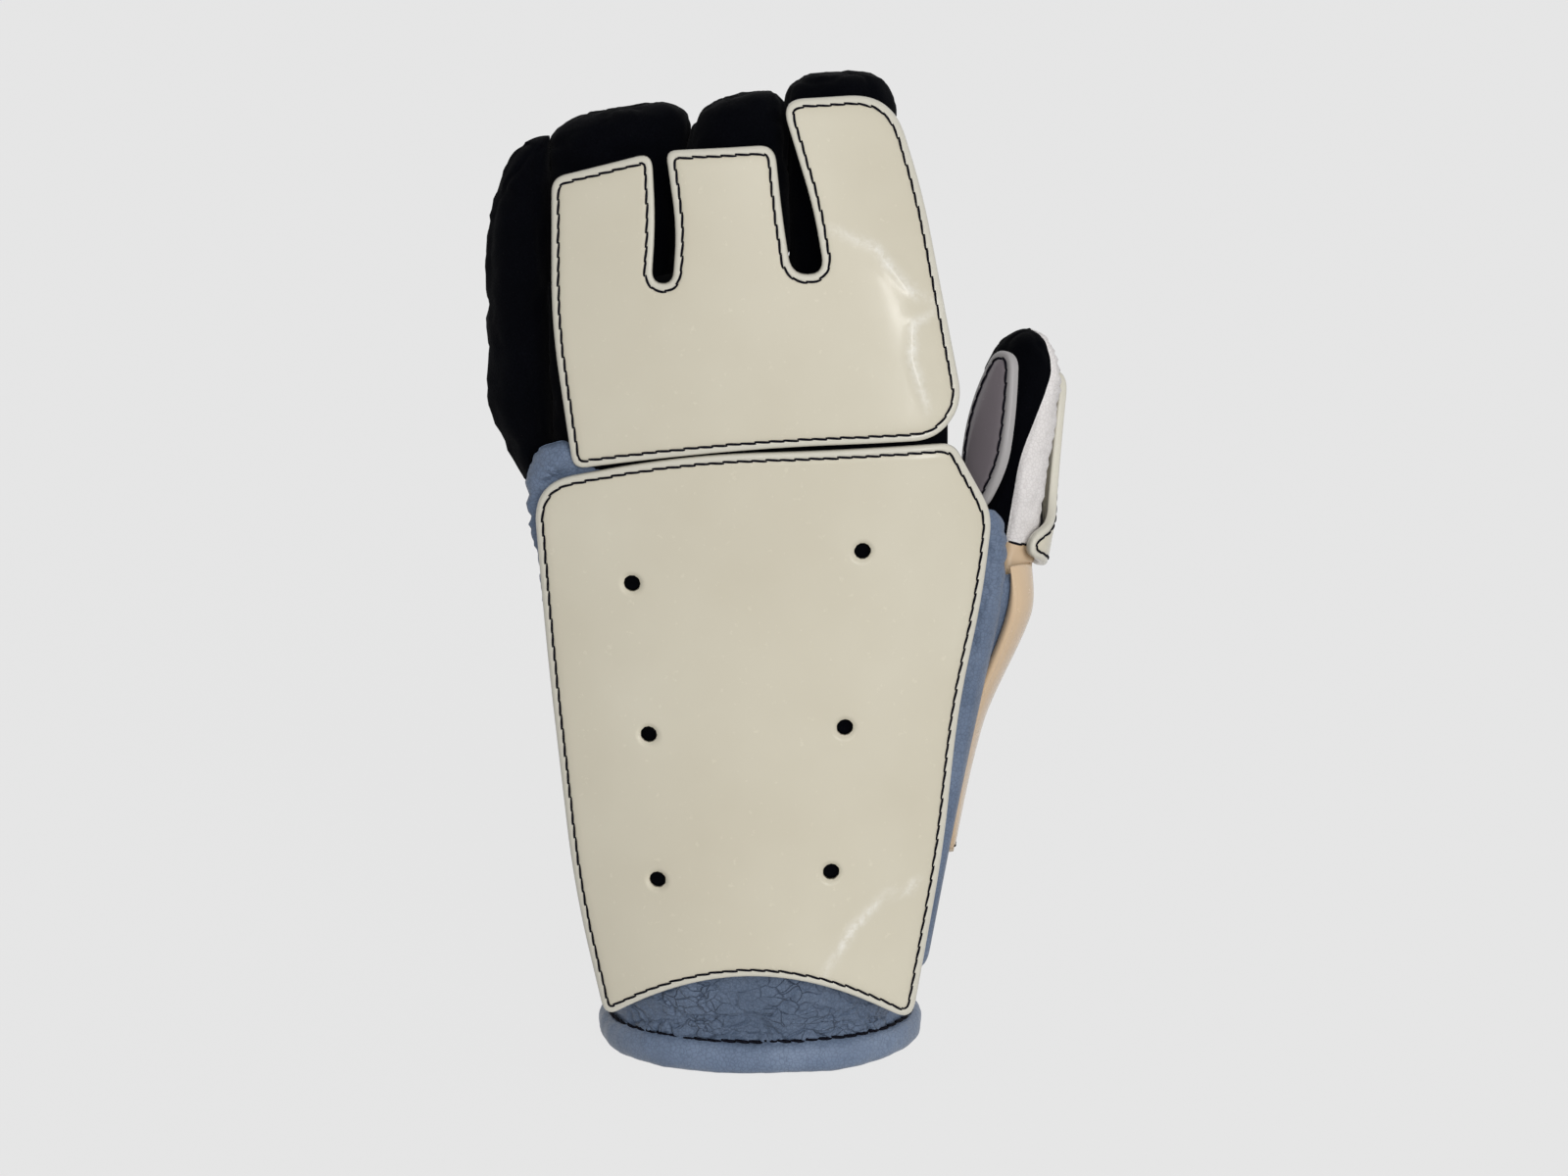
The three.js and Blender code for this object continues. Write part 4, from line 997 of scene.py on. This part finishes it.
def make_back_pad():
    """Leather pad behind the back plate: crowned, rolled at its edge, puckered where the plate is sewn on."""
    flat, faces, rim, _ = flat_sheet(outline(PAD_COVER, 1.3), PAD_RINGS)
    x, z = flat.T
    places = xyz(x, 0, z)
    near = back_surface(x, z) + PLATE + GAP
    far = np.minimum(tunnel_front(x, z) - PAD_CLEAR, near + lerp(4, PAD_MOST, smooth(-70, -56, x)))
    swell = 1 - rounded_edge(rim, ROLL) / ROLL
    middle, half = (near + far) / 2, (far - near) / 2 * swell
    plate = outline(BACK_PLATE)
    bulge = ROLL_BULGE * smooth(0, 4, np.where(inside(flat, plate), 0, distance_to(flat, plate)))
    gathered = 0.45 + 0.8 * smooth(100, 160, z) * (smooth(30, 60, x) + 1.4 * smooth(-50, -60, x))
    folds = cracks(places * (1, 1, 2.2) + 2.5 * cloud(places, 14)[:, None], 6.5, 0.1)
    pucker = gathered * bump(rim, 6.5, 4.0) * folds
    crumple = 0.175 * np.abs(cloud(places, 9)) * smooth(0, 4, rim)
    upper_edge = (1 - smooth(0, 6, rim)) * smooth(135, 155, z)
    at_sides = np.maximum(smooth(-55, -62, x), 0.5 * smooth(62, 68, x))
    x = x + 1.4 * upper_edge * at_sides * cloud(places * (1, 1, 2), 7)
    front = xyz(x, middle - half + 0.2 - bulge * swell + pucker + crumple, z)
    back = xyz(x, middle + half - 0.1, z)
    piece = sheet("back_pad", faces, front, back, BLUE, "cuff", "back_pad_cover", "back_pad_foam")


def make_eyelets():
    """Dark felt seen through the holes of the back plate."""
    turn = ring(HOLE_SIDES)
    points, faces = [], []
    for x, z in HOLES:
        faces += tube_faces(len(EYELET), HOLE_SIDES, len(points) * HOLE_SIDES)
        for radius, depth in EYELET:
            px, pz = x + radius * np.cos(turn), z + radius * np.sin(turn)
            points.append(xyz(px, back_surface(px, pz) + depth, pz))
    finish_mesh(new_object("back_guard_eyelets", points, faces), BLACK, "cuff")


# Cuff


def outward(degrees, z):
    return with_normals(tunnel_point, degrees, z, step=1)[1]


def cuff_panel(name, node, material, relief, start, end, high, columns, rows):
    """Panel of the cuff: rows close together near the hem, edges turned in at its seams."""
    u, v = shares(columns, rows)
    degrees = lerp(start, end, u)
    top = high(degrees) if callable(high) else high
    z = lerp(HEM_HEIGHT - HEM_OVERLAP, top, lerp(v**3, v, 0.4))
    flat = tunnel_point(degrees, z)
    walk = np.linspace(start, end, 60)
    girth = lengths_along(tunnel_point(walk, np.full_like(walk, GIRTH_Z)))[-1]
    turned = 1.5 * bump(np.minimum(u, 1 - u) * girth, 0, 1.6) + 1.0 * bump(z, top, 1.2)
    outer = raised(flat, outward(degrees, z), relief(z, flat) - turned)
    shell(name, outer, tunnel_point(degrees, z, LEATHER), material, "cuff", node)


def fold_edge(degrees):
    """Top of the left panel, below the knuckles' fold."""
    return fold(tunnel_point(degrees, np.full(np.shape(degrees), KNUCKLE_Z))[..., 1], -1)


def thumb_floor(degrees):
    """Top of the right panel, below the slanted root of the thumb."""
    point = tunnel_point(degrees, np.full(np.shape(degrees), THUMB_ROOT_Z))
    lean = (point[..., :2] - THUMB_BASE[:2]) @ THUMB_AXIS[:2]
    return np.minimum(THUMB_ROOT_Z, THUMB_BASE[2] - lean / THUMB_AXIS[2] - 2 * GAP)


def front_relief(z, flat):
    """The front puffs out under the plate's arch, and buckles most just above the hem."""
    moved = wandering(flat, 4, 13)
    low = 1 - smooth(12, 38, z)
    folds = 1.1 * cracks(moved * (0.6, 1, 1.3), 8.5, 0.08) * lerp(0.4, 1, low)
    fine = 0.4 * cracks(moved * (0.75, 1, 1.35), 3.6, 0.12) * lerp(0.15, 1, low)
    return 3.0 * bump(z, 27, 15) + 1.0 * cloud(flat, 12) - folds - fine


def side_relief(z, flat):
    """The sides pull into soft folds, tighter near the top where they are gathered."""
    moved = wandering(flat, 5, 20)
    folds = 0.5 * cracks(moved * (1, 1, 1.6), 11.0, 0.15) * lerp(0.25, 1, smooth(140, 172, z))
    return 0.8 * cloud(flat, 24) - folds - 0.12 * cracks(moved, 4.0, 0.2)


def make_cuff():
    # The front panel's darker blue is painted shade under the back plate's arch.
    cuff_panel("cuff_front", "cuff_front_panel", SHADED_CRACKED_BLUE, front_relief,
               SEAM_FRONT_LEFT, SEAM_FRONT_RIGHT, KNUCKLE_Z - 5, 240, 190)
    cuff_panel("cuff_left", "cuff_left_panel", BLUE, side_relief,
               SEAM_BACK_LEFT, SEAM_FRONT_LEFT, fold_edge, 60, 130)
    cuff_panel("cuff_right", "cuff_right_panel", BLUE, side_relief,
               SEAM_FRONT_RIGHT - 360, SEAM_BACK_RIGHT, thumb_floor, 70, 110)
    cuff_panel("cuff_back", "cuff_palm_panel", BLUE, side_relief,
               SEAM_BACK_RIGHT, SEAM_BACK_LEFT, WRIST_Z, 90, 70)
    degrees, z = np.meshgrid(ring(72, 360), np.linspace(HEM_HEIGHT, THUMB_ROOT_Z - 4, 30))
    inset = LEATHER + 0.75
    cloth = [tunnel_point(degrees, z, depth) for depth in (inset, inset + 1.2)]
    shell("cuff_lining_cloth", *cloth, LINING, "cuff", "cuff_lining", wraps=True)


def make_hem():
    """Rolled hem: a soft roll with fine gathers, flat where it stands, and the seam above it."""
    turns, section = 540, 34
    degrees, angle = ring(turns, 360), ring(section)
    middle = tunnel_point(degrees, np.full(turns, HEM_HEIGHT), LEATHER / 2)
    away = unit(np.roll(middle, -1, 0) - np.roll(middle, 1, 0))
    out = np.stack([away[:, 1], -away[:, 0], np.zeros(turns)], -1)
    centre = HEM_HEIGHT / 2
    places = middle[:, None] + out[:, None] * (HEM_HALF * power(np.cos(angle), HEM_SQUARENESS))[:, None]
    places[..., 2] = centre + (centre + 0.3) * power(np.sin(angle), HEM_SQUARENESS)
    gathers = 0.2 * cloud(places * (1, 1, 0.2), 3.0, 2) * smooth(-0.6, 0.5, np.sin(angle))
    lumps = 0.8 * cloud(places, 26) + gathers + 0.25 * cloud(places, 9)
    spread = out[:, None] * np.cos(angle)[:, None] + np.array([0, 0, 1]) * np.sin(angle)[:, None]
    places = raised(places, spread, lumps)
    places[..., 2] = np.maximum(places[..., 2], 0)
    around = np.concatenate([np.arange(turns * section), np.arange(section)])
    faces = around[np.array(grid_faces(turns + 1, section, True))].tolist()
    # The hem's leather is painted paler as painted light on its upturned top.
    piece = finish_mesh(new_object("cuff_hem", places, faces), LIT_BLUE, "cuff", "cuff_binding", "hem_cord")
    line = tunnel_point(degrees, np.full(turns, HEM_HEIGHT + 0.5), -0.5)
    line[:, 2] += 0.5 * np.array([noise.noise(Vector(p) / 12) for p in line])
    stitching("hem_stitches", line, out, "cuff", THREAD_BLACK, thread=0.55, length=4.4)


def guard_point(u, v, outset):
    """Place on the wrist guard: share across it, share up it, distance from the cuff."""
    (foot_from, foot_to), (top_from, top_to) = GUARD["foot"], GUARD["top"]
    middle = lerp(foot_from + foot_to, top_from + top_to, v) / 2
    full = lerp(foot_to - foot_from, top_to - top_from, v)
    narrowed = lerp(0.2, 1, np.sqrt(np.minimum(1, v / 0.3)))
    degrees = middle + full * narrowed * (u - 0.5)
    top = THUMB_ROOT_Z - GUARD["below_root"] + GUARD["lift"] * u
    z = lerp(GUARD["low"], top + GUARD["front_lift"] * (1 - smooth(0, 0.6, u)), v)
    return raised(tunnel_point(degrees, z), outward(degrees, z), outset)


def guard_face(below_top, rim):
    """Distance of the wrist guard's face from the cuff: it is thinner towards its top and at its edge."""
    thinned = GUARD["thinning"] * (1 - smooth(0, GUARD["thin_over"], below_top))
    return GAP + PLATE - thinned - edge_profile(rim)


def make_wrist_guard():
    """Guard on the thumb side of the wrist: narrow at its foot, sewn along its outer edge and its foot."""
    u, v = shares(60, 110)
    base = guard_point(u, v, np.zeros_like(u))
    width = np.linalg.norm(np.diff(base, axis=1), axis=-1).sum(1)[:, None]
    tall = np.linalg.norm(np.diff(base, axis=0), axis=-1).sum(0)[None, :]
    rim = np.minimum((1 - u) * width, v * tall)
    face = guard_face((1 - v) * tall, np.minimum(rim, u * width + EDGE_RADIUS))
    outer = guard_point(u, v, np.maximum(GAP + GUARD["least"], face))
    inner = guard_point(u, v, np.full_like(u, GAP))
    # The wrist guard's cream plastic is painted tan as warm shade.
    piece = shell("wrist_guard", outer, inner, WARM_SHADED_CREAM, "cuff", "wrist_side_plate")
    set_values(piece, "rim", np.concatenate([rim, rim]))
    from_side, from_foot = (GUARD["seam"] / np.median(size) for size in (width, tall))
    walk = np.linspace(0, 1, 60)
    seam_u = np.concatenate([0 * walk + 1 - from_side, lerp(1 - from_side, 0.04, walk)])
    seam_v = np.concatenate([lerp(1, from_foot, walk), 0 * walk + from_foot])
    face = guard_face((1 - seam_v) * np.median(tall), np.array(STITCH_INSET))
    sewn = with_normals(guard_point, seam_u, seam_v, inset=face, step=-1)
    stitching("wrist_guard_stitches", *sewn, "cuff", THREAD_BLACK, closed=False)


# Fingers


def suede_relief(places, normals, folds=1.0):
    """Soft swelling and a few folds of worn suede."""
    creases = cracks(wandering(places, 4, 15, (0, 40, 80)) * (1, 1, 0.6), 15.0, 0.1)
    return raised(places, normals, 0.9 * cloud(places, 13) + 0.35 * cloud(places, 4) - 0.8 * folds * creases)


def sleeve(name, body, outer, inner, *nodes, materials=BLACK):
    """Sleeve from rows of points up to a closed tip."""
    outer[-1] = outer[-1].mean(0)
    return shell(name, outer, inner, materials, body, *nodes, wraps=True, capped=True)


def make_stalls():
    for name, finger in STALLS.items():
        def point(u, v, inset, finger=finger):
            return stall_point(finger, u, v, inset)

        u, v = np.meshgrid(ring(64, 1), to_tip(44))
        outer = suede_relief(*with_normals(point, u, v))
        sleeve(f"{name}_sleeve", "fingers", outer, point(u, v, STALL_WALL), f"{name}_stall")
        palm_patch(f"{name}_grip", f"{name}_palm", "fingers", (0.09, 0.41), (0.03, 0.82), point)


def palm_patch(name, node, body, around, up, point):
    """Cushioned leather on the palm side of a stall, with round corners and an edge sunk in the suede."""
    a, b = (2 * share - 1 for share in shares(30, 44))
    u = lerp(*around, (1 + a * np.sqrt(1 - 0.3 * b**2)) / 2)
    v = lerp(*up, (1 + b * np.sqrt(1 - 0.3 * a**2)) / 2)
    flat, normals = with_normals(point, u, v, inset=-GAP)
    half_width, half_length = 11, 20
    edge = np.minimum((1 - np.abs(a)) * half_width, (1 - np.abs(b)) * half_length)
    cushion = (PATCH + GRIP_SINK) * np.sqrt(smooth(0, 3, edge)) - GRIP_SINK
    creases = 0.35 * cracks(flat * (0.5, 0.5, 1.6), 9.0, 0.12) * smooth(1, 4, edge)
    outer = raised(flat, normals, cushion + 0.3 * cloud(flat, 7) * smooth(0, 3, edge) - creases)
    shell(name, outer, point(u, v, 1.2), WHITE, body, node)


def lid_over(rim, height):
    """Rows that close a rim in a low dome."""
    rows = []
    for s in np.cos(np.linspace(0.12, 1, 12) * np.pi / 2):
        row = lerp(rim.mean(0), rim, s)
        row[:, 2] = height + LID_RISE * math.sqrt(1 - s * s)
        rows.append(row)
    return rows


def make_chamber():
    """Black body of the fingers, closed between the stalls and sunk where the palm leather covers it."""
    columns = 140
    degrees = ring(columns, 360)
    base = fold(chamber_point(degrees, np.full(columns, KNUCKLE_Z))[:, 1], 1)

    def wall(top, inset):
        return np.array([chamber_point(degrees, lerp(base, top, v), inset) for v in np.linspace(0, 1, 26)])

    flat, normals = with_normals(wall, WEB_Z, inset=0.3, step=1)
    covered = smooth(42, 50, degrees) * (1 - smooth(130, 138, degrees))
    outer = lerp(suede_relief(flat, normals, 0.6), flat - normals * 1.5, covered[:, None])
    outer = np.concatenate([outer, lid_over(outer[-1], WEB_Z)])
    inner = wall(WEB_Z - 2, LEATHER)
    inner = np.concatenate([inner, lid_over(inner[-1], WEB_Z - 2)])
    shell("finger_body", outer, inner, BLACK, "fingers", "finger_back_panel", "finger_side_panel",
          wraps=True, capped=True)


def little_point(angle, z, inset):
    """Little finger sleeve, drawn in below the knuckles so that it tucks inside the cuff."""
    low, top = KNUCKLE_Z + GAP, KNUCKLE_Z + LITTLE["length"]
    share = dome(np.clip((z - low) / (top - low), 0, 1), LITTLE["dome"], LITTLE["blunt"])
    tucked = (1 - np.clip((z - LITTLE_TUCK["start"]) / LITTLE_TUCK["over"], 0, 1)) ** 1.15
    across = LITTLE_TUCK["across"] * tucked
    x = LITTLE["x"] + LITTLE["lean"] * LITTLE["half"] * (1 - share) + across
    half = np.maximum(LITTLE["half"] - across - inset, 0.4)
    depth = LITTLE["depth"] - LITTLE_TUCK["back"] * tucked - inset
    y = LITTLE["y"] + depth * share * rounded(np.sin(angle))
    return xyz(x + half * share * rounded(np.cos(angle)), y, z)


def make_little_finger():
    """Suede sleeve with a ridge at its outer seam, plainer where it lies beside the ring finger."""
    top = KNUCKLE_Z + LITTLE["length"]
    u, v = np.meshgrid(ring(64), to_tip(64))
    z = lerp(LITTLE_TUCK["foot"], top, v)
    flat, normals = with_normals(little_point, u, z)
    normals[-1] = (0, 0, 1)
    beside_ring = 0.8 * smooth(0.4, 0.95, np.cos(u))
    outer = lerp(suede_relief(flat, normals, 1.2), flat, beside_ring[..., None])
    outer = raised(outer, normals, 0.7 * bump(np.degrees(u), 205, 7))
    inner = little_point(u, lerp(LITTLE_TUCK["foot"], top - STALL_WALL, v), STALL_WALL)
    piece = sleeve("little_finger_sleeve", None, outer, inner, "little_finger_stall", "little_finger_crease")
    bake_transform(piece)

    def point(a, b, inset):
        return little_point(2 * np.pi * a, lerp(KNUCKLE_Z + GAP, top, b), inset)

    palm_patch("little_finger_grip", "little_finger_palm", "little_finger", (0.12, 0.38), (0.2, 0.8), point)


# Palm side and knuckles


def over_knuckles(hand, finger, z, start, end):
    """Places that pass from the hand's surface to the fingers' between two heights."""
    both = lerp(hand, finger, smooth(start, end, z)[..., None])
    both[..., 2] = z
    return both


def make_palm():
    """White palm leather from the wrist to the webs, creased where the knuckles fold."""
    u, v = shares(80, 130)
    z = lerp(WRIST_Z - 3, WEB_Z, v)
    seam = SEAM_BACK_RIGHT + 0.5
    beside_thumb = 14 * smooth(134, 147, z) * (1 - smooth(176, 204, z))
    degrees = lerp(seam + beside_thumb, SEAM_BACK_LEFT, u)

    def skin(inset):
        hand = tunnel_point(degrees, np.minimum(z, KNUCKLE_Z), inset)
        finger = chamber_point(degrees, np.maximum(z, KNUCKLE_Z), inset)
        return over_knuckles(hand, finger, z, 172, 204)

    flat, normals = with_normals(skin, inset=-0.4, step=1)
    folds = 1.1 * bump(z, 187, 16) * (np.abs(np.sin((z + 3.5 * cloud(flat, 25)) * 0.42)) ** 0.6 - 0.75)
    cushion = (1.6 * bump(z, 140, 26) + 1.0 * bump(z, 216, 16)) * np.sin(np.pi * u)
    creases = 0.7 * cracks(wandering(flat, 5, 18), 19.0, 0.07)
    relief = cushion + 0.7 * cloud(flat, 20) + folds - creases + 0.35
    wide, tall = 90, 140
    edge = np.minimum(np.minimum(u, 1 - u) * wide, np.minimum(v, 1 - v) * tall)
    outer = raised(flat, normals, relief * smooth(0, 6, edge) - 1.0 * bump(edge, 0, 1.2))
    piece = shell("palm_leather", outer, skin(LEATHER), WHITE, None,
                  "palm_panel", "palm_crease", "finger_palm_panel")
    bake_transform(piece)
    degrees = lerp(seam, SEAM_BACK_LEFT, np.linspace(0.03, 0.97, 120))
    height = np.full(120, WRIST_Z - 0.3)
    stitching("palm_seam_stitches", tunnel_point(degrees, height, -0.5), outward(degrees, height), "cuff",
              THREAD_PALE, closed=False, thread=0.4)


def make_crotch():
    """Black gusset between the thumb and the fingers, continuous with the side of the index finger."""
    u, v = shares(40, 80)
    side = 53.5
    z = lerp(156, 236, v)
    below = np.minimum(z, KNUCKLE_Z)
    x0, y0, width, depth = tunnel_section(below)
    across = np.minimum(1, np.abs(side - x0) / (width - LEATHER))
    front = tunnel_front(np.full_like(u, side), below) + 3.5
    back = y0 + (depth - LEATHER) * (1 - across**ROUNDNESS) ** (1 / ROUNDNESS) - 1

    def skin(inset):
        hand = xyz(side - inset, lerp(front, back, u), z)
        finger = chamber_point(lerp(-38.0, 42.0, u), np.maximum(z, KNUCKLE_Z), inset - 0.5)
        return over_knuckles(hand, finger, z, 174, 206)

    outer = suede_relief(skin(0.0), np.array([1.0, 0, 0]), 0.8)
    piece = shell("thumb_crotch", outer, skin(LEATHER), BLACK, None, "crotch_panel")
    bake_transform(piece)


def make_gusset():
    """Black strip that shows between the two big plates."""
    u, v = shares(90, 14)
    x, z = lerp(-52, 56, u), lerp(181, 201, v)
    face = np.maximum(back_surface(x, np.minimum(z, KNUCKLE_Z)), finger_surface(x, z)) + PLATE + 1.2
    outer = suede_relief(xyz(x, face, z), np.array([0, -1.0, 0]), 0.3)
    piece = shell("knuckle_strip", outer, xyz(x, face + LEATHER, z), BLACK, None, "knuckle_gusset")
    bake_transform(piece)


# Thumb


def thumb_skin(u, v, up, inset):
    """Thumb sleeve: share round it, share and height along it. It tucks in below its root."""
    tucked = 1 - smooth(THUMB_TUCK["foot"], THUMB_TUCK["end"], up)
    scale = dome(v, THUMB["dome"], THUMB["blunt"]) * (1 - THUMB_TUCK["narrowed"] * tucked)
    half = (THUMB["half"] - THUMB["taper"] * v - inset) * scale
    width = (THUMB["width"] - THUMB["narrowing"] * v - inset) * scale
    angle = 2 * np.pi * u
    out = half * rounded(np.cos(angle)) - THUMB_TUCK["across"] * tucked
    return thumb_place(out, width * rounded(np.sin(angle)), up)


def make_thumb():
    """Black suede inside, white leather outside, meeting at a seam that leans outwards towards the tip."""
    white_columns, black_columns, rows = 46, 44, 60
    up = lerp(THUMB_TUCK["foot"], THUMB["length"], to_tip(rows))[:, None]
    v = np.clip(up / THUMB["length"], 0, 1)
    seam = 0.66 + 0.12 * smooth(0.35, 1, v)
    other = 1.22
    white = lerp(seam, other, ring(white_columns, 1))
    black = lerp(other, seam + 1, ring(black_columns, 1))
    u = np.concatenate([white, black], 1)
    v, up = (np.broadcast_to(values, u.shape) for values in (v, up))
    flat, normals = with_normals(thumb_skin, u, v, up)
    normals[-1] = UP
    is_white = np.arange(white_columns + black_columns) < white_columns
    girth = 80
    from_seam = np.minimum(u - seam, other - u) * girth
    across = 0.3 * np.sin(up * 2.1 + 4 * cloud(flat, 9)) + 0.25 * np.sin(up * 3.7 + 5 * cloud(flat + 30, 7))
    ripples = across * smooth(1, 5, from_seam) * bump(from_seam, 10, 12)
    leather = raised(flat, normals, 0.5 * cloud(flat, 11) + ripples + 0.9 * smooth(0, 1.8, from_seam))
    suede = raised(suede_relief(flat, normals, 0.7), normals, -0.5 * bump(from_seam, 0, 1.2))
    outer = np.where(is_white[:, None], leather, suede)
    inner = thumb_skin(u, v, np.minimum(up, THUMB["length"] - STALL_WALL), STALL_WALL)
    # The third material paints the leather below the thumb's root in the wrist guard's warm shade.
    piece = sleeve("thumb_sleeve", None, outer, inner, "thumb_stall", "thumb_palm",
                   materials=[BLACK, WHITE, WARM_SHADED_CREAM])
    set_values(piece, "rim", np.full(len(piece.data.vertices), 9.0))
    root = int(np.argmin(np.abs(up[:, 0] - THUMB_FACING)))
    paint_thumb(piece, is_white, rows, root)
    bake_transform(piece)
    edge = slice(1, white_columns - 12)
    seam = stitching("thumb_root_stitches", outer[root, edge], normals[root, edge], None, THREAD_BLACK,
                     closed=False)
    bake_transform(seam)


def paint_thumb(piece, is_white, rows, root):
    """White leather on the outer columns of faces, the wrist guard's warm painted shade below the root's row,
    black suede on the rest.
    """
    columns = len(is_white)
    for face in piece.data.polygons[:(rows - 1) * columns]:
        if is_white[face.index % columns]:
            face.material_index = 1 if face.index // columns >= root else 2


# Strap


def strap_band(start, end, low, high, outset, thickness, columns, rows, relief=0.0):
    """Outer and inner faces of a band round the wrist, with round edges and a groove for its stitches."""
    u, v = shares(columns, rows)
    degrees, z = lerp(start, end, u), lerp(low, high, v)
    flat = tunnel_point(degrees, z, -outset - thickness)
    length = lengths_along(flat[rows // 2])[-1]
    edge = np.minimum(np.minimum(u, 1 - u) * length, np.minimum(v, 1 - v) * (high - low))
    drop = 0.4 * thickness * rounded_edge(edge, EDGE_RADIUS) / EDGE_RADIUS
    groove = 0.25 * bump(edge, STITCH_INSET, 0.5) if relief else 0
    outer = raised(flat, outward(degrees, z), relief * cloud(flat, 12) - drop - groove)
    return outer, raised(tunnel_point(degrees, z, -outset), outward(degrees, z), drop)


def make_strap():
    hook_at = GAP + STRAP_PATCH + GAP
    strap_at = hook_at + STRAP_PATCH + GAP
    outset = strap_at + STRAP_THICKNESS
    narrow = STRAP_LOW + STRAP_MARGIN, STRAP_HIGH - STRAP_MARGIN
    full = STRAP_LOW, STRAP_HIGH
    loop = strap_band(*TAPE_SPAN, *narrow, GAP, STRAP_PATCH, 50, 34)
    hook = strap_band(*TAPE_SPAN, *narrow, hook_at, STRAP_PATCH, 50, 34)
    band = strap_band(STRAP_HINGE, STRAP_END, *full, strap_at, STRAP_THICKNESS, 130, 50, 0.3)
    tab = strap_band(STRAP_END + 0.2, STRAP_END + 8, *narrow, strap_at, STRAP_THICKNESS, 24, 36)
    anchor = strap_band(STRAP_HINGE - 7, STRAP_HINGE - 0.3, *full, GAP, outset - GAP, 24, 44, 0.15)
    shell("loop_tape", *loop, TAPE, "cuff", "strap_loop_patch")
    shell("hook_tape", *hook, TAPE, "strap", "strap_hook_patch")
    shell("wrist_band", *band, WHITE, "strap", "wrist_strap")
    shell("pull_tab", *tab, BLACK, "strap", "strap_pull_tab")
    shell("band_anchor", *anchor, WHITE, "cuff", "strap_anchor_tab")
    sewn_box("wrist_band_stitches", STRAP_HINGE + 2.5, STRAP_END - 2.2, outset, "strap")
    sewn_box("band_anchor_stitches", STRAP_HINGE - 5.8, STRAP_HINGE - 1.8, outset, "cuff")


def sewn_box(name, start, end, outset, body):
    """Stitches round a box on the strap."""
    low, high = STRAP_LOW + STRAP_SEAM, STRAP_HIGH - STRAP_SEAM
    corners = np.array([(start, low), (end, low), (end, high), (start, high)], float)
    degrees, z = resampled(corners, SEAM_STEP, closed=True).T
    stitching(name, tunnel_point(degrees, z, -outset), outward(degrees, z), body, THREAD_PALE)


# Camera, light and floor


def add_object(name, data, place, aim):
    """Camera or lamp at a place, turned to what it is aimed at."""
    obj = bpy.data.objects.new(name, data)
    obj.location = place
    obj.rotation_euler = (Vector(aim) - Vector(place)).to_track_quat("-Z", "Y").to_euler()
    bpy.context.scene.collection.objects.link(obj)
    return obj


def lamp(name, kind, place, energy, gloss=True):
    light = bpy.data.lights.new(name, kind)
    light.energy = energy
    add_object(name, light, place, world([0, 0, 150])).visible_glossy = gloss
    return light


def make_stage():
    scene = bpy.context.scene
    scene.view_settings.view_transform = "Standard"
    camera = bpy.data.cameras.new("camera")
    camera.lens = CAMERA_LENS
    camera.sensor_width = 36
    tilt = math.radians(CAMERA_ELEVATION)
    aim = world(CAMERA_AIM)
    eye = aim + CAMERA_DISTANCE * MM * np.array([0, -math.cos(tilt), math.sin(tilt)])
    scene.camera = add_object("camera", camera, eye, aim)
    light_world(scene)
    lay_floor(scene)
    sun = lamp("key", "SUN", (0.18, -1.0, 0.45), 2.0, gloss=False)
    sun.angle = math.radians(40)
    strip = lamp("strip", "AREA", (0.86, -1.36, 0.3), 1.5)
    strip.shape = "RECTANGLE"
    strip.size, strip.size_y = 0.08, 0.5


def light_world(scene):
    """Soft light that is weaker from the left, behind a plain backdrop."""
    scene.world = bpy.data.worlds.new("studio")
    s = Nodes(scene.world)
    across = s.node("SeparateXYZ", s.node("TexCoord").outputs["Generated"]).outputs["X"]
    level = s.node("MapRange", across, From_Min=-0.8, From_Max=0.4, To_Min=0.1, To_Max=0.42).outputs[0]
    light = s.tree.nodes["Background"]
    s.put(level, light.inputs["Color"])
    s.blend_shaders(s.backdrop_rays(), light, s.node("Background", BACKDROP), "World Output")


def lay_floor(scene):
    mesh = bpy.data.meshes.new("floor")
    edit_mesh(mesh, lambda bm: bmesh.ops.create_grid(bm, x_segments=2, y_segments=2, size=FLOOR_REACH))
    floor = bpy.data.objects.new("floor", mesh)
    scene.collection.objects.link(floor)
    floor.location.z = cad_box[0][2]
    s = Surface("floor", Base_Color=BACKDROP, Roughness=1.0, Specular_IOR_Level=0.0)
    share = s.maths("MULTIPLY", s.backdrop_rays(), 0.94)
    s.blend_shaders(share, s.surface, s.node("Emission", BACKDROP), "Material Output")
    mesh.materials.append(s.material)


make_stage()
make_plates()
make_pads()
make_back_pad()
make_eyelets()
make_cuff()
make_hem()
make_wrist_guard()
make_stalls()
make_chamber()
make_little_finger()
make_palm()
make_crotch()
make_gusset()
make_thumb()
make_strap()
